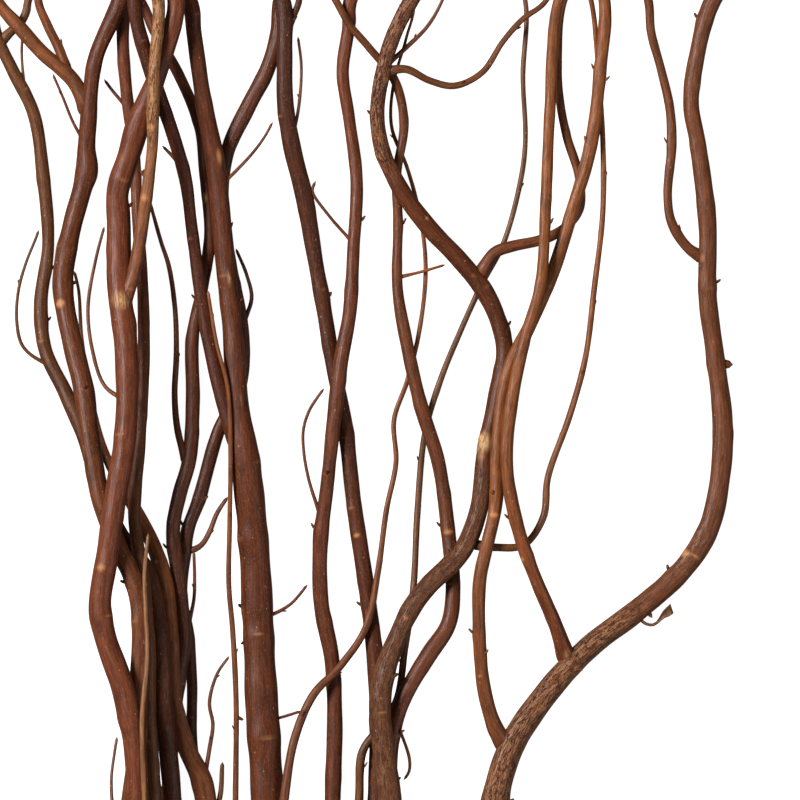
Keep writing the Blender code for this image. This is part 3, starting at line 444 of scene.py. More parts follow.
         (123.5, 70, 6.8), (119.6, 103, 6.3), (116.9, 119, 6), (119.2, 138, 6.2), (125.4, 160, 6.6)],
        [(43.6, -141.4, 6.4), (37.6, -130, 5.8), (33.4, -114, 5.3), (31.5, -86.4, 5), (32, -71, 5),
         (34.8, -58, 5), (38.2, -42, 5.1), (39, -18, 5.1), (43, 10, 5), (52, 30, 5), (60.8, 50, 4.9),
         (69.4, 77, 4.8), (76.7, 103, 4.8), (80.2, 132, 4.7), (82, 160, 4.6)],
        [(67.6, -106, 6.2), (62.4, -90.4, 5.4), (54.8, -72.8, 5.2), (47.7, -53.2, 5.1), (42.8, -28, 5),
         (43.6, -8, 4.9), (49.6, 23.2, 4.6), (56, 45, 4.3), (58.4, 80, 4.2), (60, 115, 4.2),
         (63.6, 160, 4.1)],
        [(123.2, 56.4, 4.4), (115.8, 61, 3.8), (109.2, 71, 3.5), (107.5, 82, 3.3), (109.1, 102, 3.6),
         (108.4, 117, 3.4), (104.8, 133, 3.3), (100.8, 148, 3.2), (99.8, 160, 3.3)],
        [(127, 14.4, 3), (131.4, 14.4, 2.8), (133.8, 14.2, 1.8)],
        [(96, -83.2, 1.5), (97.2, -88.8, 1.2), (101.4, -90.4, 1.1), (105.4, -87.6, 1.2)],
        [(97.6, -82, 2), (101.4, -87.6, 1.4)],
    ],
}


class Shoot:
    """One main shoot, fork or twig: rows of x, y and thickness, with its heights once it is laid."""

    def __init__(self, points, sides):
        self.points = points
        self.sides = sides
        samples = smooth(points)
        self.kept = rings_of(samples)
        self.rows = samples[self.kept]
        self.flat = self.rows[:, :2]
        self.radius = np.maximum(self.rows[:, 2], THINNEST) / 2 * FULLNESS[sides]
        self.height = None

    def apothem(self, radius):
        return radius * math.cos(math.pi / self.sides)


def smooth(points, step=SAMPLE):
    """Samples of a centripetal curve through the points, every step mm or so."""
    rows = np.array(points, float)
    rows = np.vstack([2 * rows[0] - rows[1], rows, 2 * rows[-1] - rows[-2]])
    gaps = np.linalg.norm(np.diff(rows[:, :2], axis=0), axis=1)
    knots = np.concatenate([[0], np.cumsum(np.sqrt(gaps))])
    made = []
    for i in range(1, len(rows) - 2):
        count = max(2, round(gaps[i] / step))
        t = np.linspace(knots[i], knots[i + 1], count, endpoint=False)[:, None]
        k = knots[i - 1 : i + 3]
        p = rows[i - 1 : i + 3]
        a = [((k[j + 1] - t) * p[j] + (t - k[j]) * p[j + 1]) / (k[j + 1] - k[j]) for j in range(3)]
        b = [((k[j + 2] - t) * a[j] + (t - k[j]) * a[j + 1]) / (k[j + 2] - k[j]) for j in range(2)]
        made.append(((k[2] - t) * b[0] + (t - k[1]) * b[1]) / (k[2] - k[1]))
    return np.vstack(made + [rows[-2:-1]])


def rings_of(samples):
    """The samples that get a ring: close together in bends and further apart where it runs straight."""
    steps = np.diff(samples[:, :2], axis=0)
    lengths = np.linalg.norm(steps, axis=1)
    headings = np.unwrap(np.arctan2(steps[:, 1], steps[:, 0]))
    kept = [0]
    run = 0.0
    turned = 0.0
    for i in range(1, len(steps)):
        run += lengths[i - 1]
        turned += abs(headings[i] - headings[i - 1])
        if run >= MOST_SPAN or (turned >= MOST_TURN and run >= LEAST_SPAN):
            kept.append(i)
            run = turned = 0.0
    if run < LEAST_SPAN / 2 and len(kept) > 1:
        kept.pop()
    return kept + [len(samples) - 1]


def grow(points, reach, rng, lean=None):
    """The points carried on by a curling rule until the shoot ends in a thin tip."""
    x, y, width = points[-1]
    heading = math.atan2(x - points[-2][0], y - points[-2][1])
    lean = FAN * (x - FAN_CENTRE) if lean is None else lean
    swing = rng.uniform(*SWING)
    wave = rng.uniform(*WAVE)
    phase = math.asin(max(-1.0, min(1.0, (heading - lean) / swing)))
    if rng.random() < 0.5:
        phase = math.pi - phase
    steps = max(2, round(reach / GROW_STEP))
    step = reach / steps
    made = list(points)
    for i in range(1, steps + 1):
        way = i / steps
        turn = lean + swing * math.sin(phase + 2 * math.pi * i * step / wave)
        x += step * math.sin(turn)
        y += step * math.cos(turn)
        made.append((x, y, width + (TIP - width) * way**1.2))
    return made


def side_twigs(points, first, rng):
    """Twigs that leave the grown length of a shoot, by turns to its left and right."""
    side = rng.choice((-1, 1))
    made = []
    for i in range(first + 2, len(points) - 2, TWIG_EVERY):
        x, y, width = points[i]
        along = math.atan2(points[i + 1][0] - x, points[i + 1][1] - y)
        heading = along + side * rng.uniform(*TWIG_TURN)
        root = (x, y, max(1.4, 0.5 * width))
        reach = rng.uniform(*TWIG_LENGTH) * min(1.0, width / 5)
        off = (x + 6 * math.sin(heading), y + 6 * math.cos(heading), root[2] * 0.9)
        made.append(grow([root, off], reach, rng, 0.5 * heading))
        side = -side
    return made


def shoots_of(stem, rng):
    """The main shoot of a stem, then its forks and twigs, each followed by its grown side twigs."""
    made = []
    for k, points in enumerate(stem[1:]):
        first = len(points)
        width = points[-1][2]
        if points[-1][1] > LEAVES_VIEW:
            points = grow(points, REACH * width, rng)
        sides = TWIG_SIDES if k and points[0][2] < TWIG_BELOW else STEM_SIDES
        made.append(Shoot(points, sides))
        if len(points) > first and width > 2.5:
            made += [Shoot(twig, TWIG_SIDES) for twig in side_twigs(points, first, rng)]
    return made


def run_of(flat):
    """Length along a line of points, at each of them."""
    return np.concatenate([[0], np.cumsum(np.linalg.norm(np.diff(flat, axis=0), axis=1))])


def checks_of(shoot):
    """Points along the polyline of a shoot, as length, x, y and radius, and the ring before each."""
    at = run_of(shoot.flat)
    count = max(3, round(at[-1] / CHECK_SPAN))
    s = np.unique(np.concatenate([np.linspace(0, at[-1], count), at]))
    flat = np.stack([np.interp(s, at, shoot.flat[:, k]) for k in (0, 1)], axis=1)
    return at, s, flat, np.interp(s, at, shoot.radius)


def heights_over(shoot, flat, radius, other, skip=None):
    """For each point, the centre height that just clears the other shoot, and the one just under it."""
    start = other.flat[:-1]
    run = np.diff(other.flat, axis=0)
    t = ((flat[:, None] - start) * run).sum(axis=2) / (run**2).sum(axis=1)
    t = np.clip(t, 0, 1)
    near = start + t[..., None] * run
    apart = np.linalg.norm(flat[:, None] - near, axis=2)
    thick = other.radius[:-1] + t * np.diff(other.radius)
    high = other.height[:-1] + t * np.diff(other.height)
    full = radius[:, None] + thick
    level = radius[:, None] * math.sin(math.pi / shoot.sides) + thick * math.sin(math.pi / other.sides)
    stack = shoot.apothem(radius)[:, None] + other.apothem(thick)
    share = np.clip((full + GAP - apart) / (full - level), 0, 1)
    touches = share > 0
    if skip is not None:
        centre, within = skip
        touches &= np.linalg.norm(near - centre, axis=2) > within
    over = np.where(touches, high + stack * share + GAP, -np.inf).max(axis=1)
    under = np.where(touches, high - stack * share - GAP, np.inf).min(axis=1)
    return over, under


def parent_of(shoot, own):
    """The shoot of the same stem that this one leaves, with its height and radius there."""
    best = None
    for other in own:
        start = other.flat[:-1]
        run = np.diff(other.flat, axis=0)
        t = np.clip(((shoot.flat[0] - start) * run).sum(axis=1) / (run**2).sum(axis=1), 0, 1)
        apart = np.linalg.norm(start + t[:, None] * run - shoot.flat[0], axis=1)
        k = int(apart.argmin())
        if best is None or apart[k] < best[0]:
            high = other.height[k] + t[k] * (other.height[k + 1] - other.height[k])
            best = (apart[k], other, high, other.radius[k])
    return best[1:]


def lay(shoot, own, laid):
    """Gives the shoot its heights: on the surface, over what lies there, and no more bent than it can be."""
    at, s, flat, radius = checks_of(shoot)
    floor = shoot.apothem(radius)
    rests = floor.copy()
    ramp = np.ones(len(s))
    skips = {}
    if own:
        parent, high, thick = parent_of(shoot, own)
        rests = floor + (max(high, floor[0]) - floor) * np.exp(-s / SETTLE)
        ramp = np.clip((s - thick * 0.7) / RISE, 0, 1)
        ramp = ramp * ramp * (3 - 2 * ramp)
        skips[id(parent)] = (shoot.flat[0], MERGE * (thick + shoot.radius[0]))
    pairs = [heights_over(shoot, flat, radius, other, skips.get(id(other))) for other in laid + own]
    away = np.abs(s[:, None] - s)
    high = rests
    for _ in range(4):
        least = floor.copy()
        for over, under in pairs:
            free = high <= under if own else np.zeros(len(s), bool)
            least = np.maximum(least, np.where(free, floor, over))
        arch = (least[None] - BEND / 2 * away**2).max(axis=1)
        high = rests + (np.maximum(arch, rests) - rests) * ramp
    near = np.exp(-((away / EVEN_OUT) ** 2) / 2)
    near /= near.sum(axis=1, keepdims=True)
    high = rests + (near @ high - rests) * ramp
    bump = np.exp(-((away / LIFT_SPAN) ** 2))
    for _ in range(3):
        short = np.maximum(least - high, 0) * (ramp > 0.999)
        high = high + (short[None] * bump).max(axis=1) * ramp
    rings = np.interp(at, s, high)
    for _ in range(6):
        short = np.maximum(least - np.interp(s, at, rings), 0) * (ramp > 0.999)
        before = np.clip(np.searchsorted(at, s, side="right") - 1, 0, len(at) - 2)
        for k in np.flatnonzero(short > 0):
            for ring in (before[k], before[k] + 1):
                if not own or ring > 0:
                    rings[ring] = max(rings[ring], np.interp(at[ring], s, high) + short[k])
        high = np.maximum(high, np.interp(s, at, rings))
    low = shoot.apothem(shoot.radius)
    wanted = np.interp(at, s, least)
    down = (rings - low < SNAP) & (wanted <= low + 1e-6)
    shoot.height = np.where(down, low, np.maximum(rings, low))


def lay_all(rng):
    """Every stem as a list of laid shoots, by name."""
    laid = []
    stems = {}
    for name, stem in STEMS.items():
        own = []
        for shoot in shoots_of(stem, rng):
            lay(shoot, own, laid)
            own.append(shoot)
        laid += own
        stems[name] = own
    return stems


class Skin:
    """Points, faces and paint of one piece, gathered shoot by shoot."""

    def __init__(self):
        self.points = []
        self.quads = []
        self.triangles = []
        self.hue = []
        self.grain = []
        self.paint = {"mark": [], "scar": [], "cut": [], "crack": []}
        self.count = 0

    def add(self, points, quads, triangles, hue, grain, **paint):
        self.points.append(points)
        self.quads.append(np.asarray(quads, int).reshape(-1, 4) + self.count)
        self.triangles.append(np.asarray(triangles, int).reshape(-1, 3) + self.count)
        self.hue.append(np.broadcast_to(hue, points.shape))
        self.grain.append(grain)
        for name, kept in self.paint.items():
            kept.append(np.broadcast_to(paint.get(name, 0.0), len(points)))
        self.count += len(points)

    def mesh(self, name):
        points = np.vstack(self.points)
        quads = np.vstack(self.quads)
        triangles = np.vstack(self.triangles)
        loops = np.concatenate([quads.ravel(), triangles.ravel()])
        sizes = np.concatenate([np.full(len(quads), 4), np.full(len(triangles), 3)])
        data = bpy.data.meshes.new(name)
        data.vertices.add(len(points))
        data.vertices.foreach_set("co", ((points - (CENTRE_X, CENTRE_Y, 0)) * MM).ravel())
        data.loops.add(len(loops))
        data.loops.foreach_set("vertex_index", loops.astype(np.int32))
        data.polygons.add(len(sizes))
        starts = np.concatenate([[0], np.cumsum(sizes)[:-1]]).astype(np.int32)
        data.polygons.foreach_set("loop_start", starts)
        data.update(calc_edges=True)
        data.validate()
        hue = np.hstack([np.vstack(self.hue), np.ones((len(points), 1))])
        data.attributes.new("hue", "FLOAT_COLOR", "POINT").data.foreach_set("color", hue.ravel())
        grain = data.attributes.new("grain", "FLOAT_VECTOR", "POINT")
        grain.data.foreach_set("vector", np.vstack(self.grain).ravel())
        for kind, kept in self.paint.items():
            layer = data.attributes.new(kind, "FLOAT", "POINT")
            layer.data.foreach_set("value", np.concatenate(kept))
        return data


def fine_route(shoot):
    """Length, place and width along the smooth route, and the length at each ring of the CAD tube."""
    dense = smooth(shoot.points, FINE_STEP)
    run = run_of(dense[:, :2])
    coarse_run = run_of(smooth(shoot.points)[:, :2])
    at = coarse_run[shoot.kept] * run[-1] / coarse_run[-1]
    slope = np.gradient(shoot.height, at)
    k = np.clip(np.searchsorted(at, run, side="right") - 1, 0, len(at) - 2)
    size = at[k + 1] - at[k]
    t = (run - at[k]) / size
    high = (2 * t**3 - 3 * t**2 + 1) * shoot.height[k] + (t**3 - 2 * t**2 + t) * size * slope[k]
    high += (-2 * t**3 + 3 * t**2) * shoot.height[k + 1] + (t**3 - t**2) * size * slope[k + 1]
    pace = np.where(np.abs(dense[:, 1]) < VIEW_REACH, 1 / SPAN_IN_VIEW, 1 / SPAN_OUTSIDE)
    count = np.concatenate([[0], np.cumsum(np.diff(run) * (pace[1:] + pace[:-1]) / 2)])
    s = np.interp(np.linspace(0, count[-1], max(6, round(count[-1]))), count, run)
    x, y, w = (np.interp(s, run, dense[:, k]) for k in range(3))
    return s, np.stack([x, y, np.interp(s, run, high)], axis=1), np.maximum(w, THINNEST), at


def frames_of(spine):
    """Directions along, to the left of and above the route at each sample."""
    along = np.gradient(spine, axis=0)
    along /= np.linalg.norm(along, axis=1, keepdims=True)
    left = np.cross([0, 0, 1.0], along)
    left /= np.linalg.norm(left, axis=1, keepdims=True)
    return along, left, np.cross(along, left)


def nodes_on(shoot, s, width, rings, rng):
    """Places of the buds and leaf scars: length along, angle round, size, and if it bears a bud."""
    at, start = [], rng.uniform(8, 24)
    turn = rng.uniform(0, 2 * math.pi)
    while start < s[-1] - 4:
        size = np.interp(start, s, width)
        chance = next(share for most, share in BUD_CHANCE if size < most)
        at.append((start, turn % (2 * math.pi), size, rng.random() < chance))
        start += rng.uniform(*NODE_SPACING) * (0.75 + 0.05 * size)
        turn += NODE_TURN
    if shoot.sides == STEM_SIDES:
        run, side = BUD_EVERY / 2, 0
        for ring in range(1, len(shoot.flat) - 1):
            run += np.linalg.norm(shoot.flat[ring] - shoot.flat[ring - 1])
            if run >= BUD_EVERY and shoot.rows[ring, 2] >= BUD_LEAST_STEM:
                at.append((rings[ring], side * math.pi, shoot.rows[ring, 2], True))
                side = 1 - side
                run = 0.0
    return at


def cracks_on(name, number, spine):
    """How cracked the bark of a shoot is at each ring."""
    crack = np.zeros(len(spine))
    for which, low, high, strength in CRACKED.get(name, ()):
        if which == number:
            edge = np.clip((spine[:, 1] - low) / CRACK_FADE, 0, 1)
            edge *= np.clip((high - spine[:, 1]) / CRACK_FADE, 0, 1)
            crack = np.maximum(crack, strength * edge)
    return crack


def ridged(s, theta, crack, rng):
    """How much the tube swells all along: slow wobbles, an oval section and twisting ridges."""
    wobble = sum(size * np.sin(s / span + rng.uniform(*PHASES)) for span, size in WOBBLES)
    oval = OVAL * np.cos(2 * theta + rng.uniform(*PHASES) + s[:, None] / OVAL_TWIST)
    swell = ROUNDER + wobble[:, None] + oval
    for k, size in RIDGES:
        twist = rng.uniform(*PHASES) + np.sin(s / rng.uniform(30, 60) + rng.uniform(*PHASES))
        swell += size * (1 + CRACKED_RELIEF * crack[:, None]) * np.cos(k * theta + twist[:, None])
    return swell


def raise_nodes(swell, mark, s, theta, nodes):
    """Swells the tube at each node, with a pale fleck on the side of its bud."""
    for place_at, turn, size, _ in nodes:
        reach = NODE_LENGTH * (0.5 + 0.09 * size)
        ring = np.exp(-(((s - place_at) / reach) ** 2))[:, None]
        facing = np.clip(np.cos(theta - turn), 0, 1)
        swell += NODE_SWELL * ring * (0.35 + 0.65 * facing**2)
        fleck = np.exp(-(((s - place_at) / (0.35 * reach)) ** 2))[:, None]
        np.maximum(mark, 0.45 * fleck * facing**3, out=mark)


def raise_marks(swell, mark, scar, name, s, spine, left, width, theta):
    """Swells the tube at the stem's marks and scars that lie on this shoot."""
    for x, y, half, wide, kind, strength in MARKS.get(name, ()):
        gap = spine[:, :2] - (x, y)
        k = int((gap**2).sum(axis=1).argmin())
        off = float(-gap[k] @ left[k, :2])
        if abs(off) > 0.55 * width[k] or (gap[k] ** 2).sum() > width[k] ** 2:
            continue
        turn = math.acos(max(-1, min(1, 2 * off / width[k])))
        round_by = (theta - turn + math.pi) % (2 * math.pi) - math.pi
        spot = np.exp(-(((s - s[k]) / half) ** 2))[:, None]
        spot = spot * np.exp(-((round_by * width[k] / 2 / wide) ** 2))
        if kind == "scar":
            np.maximum(scar, strength * spot, out=scar)
            ridges = np.sin(2.6 * s[:, None] + 2.2 * round_by)
            swell += SCAR_SWELL * strength * spot * (1 + 0.4 * ridges)
        else:
            np.maximum(mark, strength * spot, out=mark)
            swell += MARK_SWELL * strength * spot


def tube_of(s, spine, axes, width, swell, theta, parent_width):
    """Radii and points of the rings, closing at the tip, and slanted or narrowed at the foot."""
    along, left, up = axes
    radius = width[:, None] / 2 * swell
    if parent_width:
        opening = np.clip(s / (0.5 * parent_width), 0, 1)
        radius *= 0.3 + 0.7 * np.sqrt(1 - (1 - opening[:, None]) ** 2)
    closing = np.clip((s[-1] - s) / (0.6 * width[-1] + 0.4), 0, 1)
    radius *= np.sqrt(1 - (1 - closing[:, None]) ** 2) * 0.98 + 0.02
    turn_left = np.cos(theta)[None, :, None] * left[:, None]
    turn_up = FLATTER * np.sin(theta)[None, :, None] * up[:, None]
    tube = spine[:, None] + radius[..., None] * (turn_left + turn_up)
    if not parent_width:
        tube[0] += (CUT_SLANT * radius[0] * np.cos(theta))[:, None] * along[0]
    tube[..., 2] = np.maximum(tube[..., 2], LOWEST)
    return radius, tube.reshape(-1, 3)


def hue_of(s, spine, number, tones):
    """Colour at each ring, from the shoot's first tone to its last."""
    first, last = (np.array(HUES[tone]) for tone in tones)
    share = np.clip(s / FULL_FOR, 0, 1)
    if number == 0:
        share = np.clip((spine[:, 1] - MAIN_FADE[0]) / MAIN_FADE[1], 0, 1)
    return first + (last - first) * share[:, None]


def ring_faces(rows, sides):
    """Quads between the rings of a tube, and triangles from its last ring to a point after it."""
    index = np.arange(rows * sides).reshape(rows, sides)
    after = np.roll(index, -1, axis=1)
    quads = np.stack([index[:-1], after[:-1], after[1:], index[1:]], axis=-1).reshape(-1, 4)
    return quads, np.stack([index[-1], after[-1], np.full(sides, rows * sides)], axis=-1)


def skin_shoot(skin, name, number, shoot, rng, tones, parent_width):
    """Adds one shoot: its swelling, ridged tube with rounded tip, its cut or rooted foot and its buds."""
    s, spine, width, rings = fine_route(shoot)
    if parent_width:
        spine[:, 2] -= SINK * parent_width * np.exp(-((s / (0.5 * parent_width)) ** 2))
    axes = frames_of(spine)
    sides = next(n for least, n in SIDES_BY_WIDTH if width.max() >= least)
    theta = np.linspace(0, 2 * math.pi, sides, endpoint=False)
    nodes = nodes_on(shoot, s, width, rings, rng)
    crack = cracks_on(name, number, spine)
    swell = ridged(s, theta, crack, rng)
    mark = np.zeros(swell.shape)
    scar = np.zeros(swell.shape)
    raise_nodes(swell, mark, s, theta, nodes)
    if parent_width:
        collar = np.clip(0.9 * parent_width / width[0] - 1, 0, COLLAR)
        swell += collar * np.exp(-((s / (0.62 * parent_width + 1.2)) ** 2))[:, None]
    raise_marks(swell, mark, scar, name, s, spine, axes[1], width, theta)
    radius, tube = tube_of(s, spine, axes, width, swell, theta, parent_width)
    lengths = np.broadcast_to(s[:, None], radius.shape)
    grain = np.stack([radius * np.cos(theta), radius * np.sin(theta), lengths], axis=2)
    grain = (grain + (37.0 * number, 11.0 * sum(map(ord, name)) % 400, 0)).reshape(-1, 3)
    hue = hue_of(s, spine, number, tones)
    skin.add(
        np.vstack([tube, spine[-1:] + axes[0][-1:] * 0.05]),
        *ring_faces(len(s), sides),
        np.vstack([hue.repeat(sides, axis=0), hue[-1:]]),
        np.vstack([grain, grain[-sides]]),
        mark=np.append(mark, 0),
        scar=np.append(scar, 0),
        crack=np.append(crack.repeat(sides), 0),
    )
    cut_foot(skin, spine[0], [axis[0] for axis in axes], radius[0], theta, hue[0], bool(parent_width))
    for place_at, turn, size, bears in nodes:
        if bears and place_at > 0.8 * parent_width:
            skin_bud(skin, s, spine, axes, radius, theta, place_at, turn, size, hue, rng)


def cut_foot(skin, foot, axes, radius, theta, hue, rooted):
    """Closes the lower end: a plain cap inside the parent, or a slanted cut with bark, wood and pith."""
    along, left, up = axes
    shares = (1.0,) if rooted else CUT_RINGS
    sides = len(theta)
    points, grain, cut = [], [], []
    for share in shares:
        across = share * radius
        slant = 0.0 if rooted else CUT_SLANT
        shift = slant * across * np.cos(theta) - (0.0 if share == 1.0 else PITH_DEPTH)
        round_by = np.cos(theta)[:, None] * left + FLATTER * np.sin(theta)[:, None] * up
        points.append(foot + across[:, None] * round_by + shift[:, None] * along)
        grain.append(np.stack([across * np.cos(theta), across * np.sin(theta), 0 * theta], axis=1))
        cut.append(np.full(sides, 0.0 if share > 0.92 else 1.0))
    points.append(foot[None] - along * PITH_DEPTH)
    grain.append(np.zeros((1, 3)))
    cut.append(np.array([0.0 if rooted else 1.0]))
    quads, triangles = ring_faces(len(shares), sides)
    points = np.vstack(points)
    points[:, 2] = np.maximum(points[:, 2], LOWEST)
    faces = (quads[:, (0, 3, 2, 1)], triangles[:, (1, 0, 2)])
    skin.add(points, *faces, hue, np.vstack(grain), cut=np.concatenate(cut))


def skin_bud(skin, s, spine, axes, radius, theta, place_at, turn, size, hue, rng):
    """A pointed bud pressed to the shoot, or on old wood a blunt knob, at one node."""
    k = int(np.clip(np.searchsorted(s, place_at), 1, len(s) - 2))
    along, left, up = (axis[k] for axis in axes)
    out = math.cos(turn) * left + math.sin(turn) * up
    j = int(round(turn / (2 * math.pi) * len(theta))) % len(theta)
    old = min(1.0, max(0.0, (size - 3.5) / 3.0))
    length = LITTLE_BUD[0] * (0.55 + 0.12 * min(size, 6)) * rng.uniform(0.85, 1.25) * (1 - 0.35 * old)
    thick = LITTLE_BUD[1] * (0.55 + 0.10 * min(size, 6)) * rng.uniform(0.9, 1.15) * (1 + 0.25 * old)
    lean = math.radians(rng.uniform(18, 34) + 30 * old)
    axis = math.cos(lean) * along + math.sin(lean) * out
    side = np.cross(axis, out)
    side /= np.linalg.norm(side)
    face = np.cross(side, axis)
    foot = spine[k] + out * (radius[k, j] - 0.35 * thick)
    points, grain = [], []
    turns = np.linspace(0, 2 * math.pi, BUD_ROUND, endpoint=False)
    for i in range(BUD_RINGS):
        t = i / BUD_RINGS
        r = thick * (0.75 + 0.9 * t) * (1 - t) ** 0.62 * 1.1
        bend = axis * (t * length) + face * (-0.25 * thick * t * t)
        round_by = np.cos(turns)[:, None] * side + 0.8 * np.sin(turns)[:, None] * face
        points.append(foot + bend + r * round_by)
        up_bud = np.full(BUD_ROUND, t * length)
        grain.append(np.stack([r * np.cos(turns), r * np.sin(turns), up_bud], axis=1))
    points.append((foot + axis * length)[None])
    grain.append(np.array([[0, 0, length]]))
    quads, triangles = ring_faces(BUD_RINGS, BUD_ROUND)
    base = [(m + 1, m, 0) for m in range(1, BUD_ROUND - 1)]
    tone = hue[k] * (0.75 if rng.random() < 0.6 else 1.25)
    fresh = np.linspace(0.35, 0.0, BUD_RINGS).repeat(BUD_ROUND) * (0.4 + 0.6 * rng.random())
    points = np.vstack(points)
    points[:, 2] = np.maximum(points[:, 2], LOWEST)
    grain = np.vstack(grain) + (place_at, 0, 0)
    skin.add(points, quads, np.vstack([triangles, base]), tone, grain, mark=np.append(fresh, 0))


def leaf_scrap(skin):
    """The dried scrap of a leaf at the fork of the front stem: a curled blade on its stalk."""
    rows = []
    for t in np.linspace(0, 1, LEAF_ROWS):
        x = 96.1 + 13.1 * t
        y = -87.8 - 2.7 * math.sin(math.pi * min(1, 1.35 * t)) + 4.2 * t**3
        half = 0.35 + 2.3 * max(0.0, t - 0.42) ** 0.8 + 0.25 * math.sin(9 * t)
        rows.append((x, y, LEAF_HEIGHT + 1.2 * math.sin(2.6 * t), half))
    points = []
    for thick in (LEAF_THICK / 2, -LEAF_THICK / 2):
        for x, y, z, half in rows:
            for across in np.linspace(-1, 1, LEAF_ACROSS):
                curl = 0.9 * half * across**2
                points.append((x - 0.35 * half * across, y + half * across, z + curl + thick))
    points = np.array(points)
    count = LEAF_ROWS * LEAF_ACROSS
    top = np.arange(count).reshape(LEAF_ROWS, LEAF_ACROSS)
    low = top + count
    quads = []
    for i in range(LEAF_ROWS - 1):
        for j in range(LEAF_ACROSS - 1):
            quads.append((top[i, j], top[i + 1, j], top[i + 1, j + 1], top[i, j + 1]))
            quads.append((low[i, j], low[i, j + 1], low[i + 1, j + 1], low[i + 1, j]))
    edge = [*top[:, 0], *top[-1, 1:], *top[-2::-1, -1], *top[0, -2:0:-1]]
    quads += [(a, a + count, b + count, b) for a, b in zip(edge, edge[1:] + edge[:1])]
    skin.add(points, quads, [], HUES["grey"], points, mark=0.2)


def place(name, data):
    """A new object of the scene."""
    made = bpy.data.objects.new(name, data)
    bpy.context.scene.collection.objects.link(made)
    return made


def set_inputs(node, values):
    for socket, value in values.items():
        node.inputs[socket].default_value = value


def make_piece(name, shoots, kind):
    """The fine piece that stands for one stem."""
    rng = random.Random(name)
    skin = Skin()
    tones = TONES[name]
    drawn = 0
    for count, shoot in enumerate(shoots):
        parent = 0.0
        number = GROWN + count
        pair = (tones[0][1], tones[0][1])
        if shoot.rows[0, 1] < VIEW_REACH:
            number = drawn
            pair = tones[min(drawn, len(tones) - 1)]
            drawn += 1
        if count:
            parent = min(2 * parent_of(shoot, shoots[:count])[2], 2.5 * shoot.rows[0, 2])
        skin_shoot(skin, name, number, shoot, rng, pair, parent)
    if name == "stem_17":
        leaf_scrap(skin)
    piece = place(name + "_bark", skin.mesh(name + "_bark"))
    piece.data.shade_smooth()
    piece.data.materials.append(bark(kind))
    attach(piece, "root")
    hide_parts(name)
    return piece


class Nodes:
    """Short ways to add and join the nodes of one material."""

    def __init__(self, material):
        material.use_nodes = True
        self.tree = material.node_tree
        self.shader = self.tree.nodes["Principled BSDF"]

    def link(self, socket, value):
        if hasattr(value, "is_output"):
            self.tree.links.new(value, socket)
        else:
            socket.default_value = value

    def attribute(self, name, output):
        made = self.tree.nodes.new("ShaderNodeAttribute")
        made.attribute_name = name
        return made.outputs[output]

    def math(self, kind, first, second=0.0):
        made = self.tree.nodes.new("ShaderNodeMath")
        made.operation = kind
        self.link(made.inputs[0], first)
        self.link(made.inputs[1], second)
        return made.outputs[0]

    def scaled(self, vector, scale):
        made = self.tree.nodes.new("ShaderNodeVectorMath")
        made.operation = "MULTIPLY"
        self.link(made.inputs[0], vector)
        made.inputs[1].default_value = scale
        return made.outputs[0]

    def noise(self, grain, stretch, scale, detail, rough):
        made = self.tree.nodes.new("ShaderNodeTexNoise")
        self.link(made.inputs["Vector"], self.scaled(grain, (1.0, 1.0, stretch)))
        set_inputs(made, {"Scale": scale, "Detail": detail, "Roughness": rough})
        return made.outputs["Fac"]

    def cells(self, vector, scale):
        made = self.tree.nodes.new("ShaderNodeTexVoronoi")
        self.link(made.inputs["Vector"], vector)
        set_inputs(made, {"Scale": scale})
        return made.outputs["Distance"]

    def between(self, value, low, high, to_low=0.0, to_high=1.0):
        made = self.tree.nodes.new("ShaderNodeMapRange")
        made.interpolation_type = "SMOOTHSTEP"
        self.link(made.inputs["Value"], value)
        set_inputs(made, {"From Min": low, "From Max": high, "To Min": to_low, "To Max": to_high})
        return made.outputs["Result"]

    def mix(self, share, first, second):
        made = self.tree.nodes.new("ShaderNodeMix")
        made.data_type = "RGBA"
        made.clamp_factor = True
        self.link(made.inputs[0], share)
        self.link(made.inputs[6], first)
        self.link(made.inputs[7], second)
        return made.outputs[2]


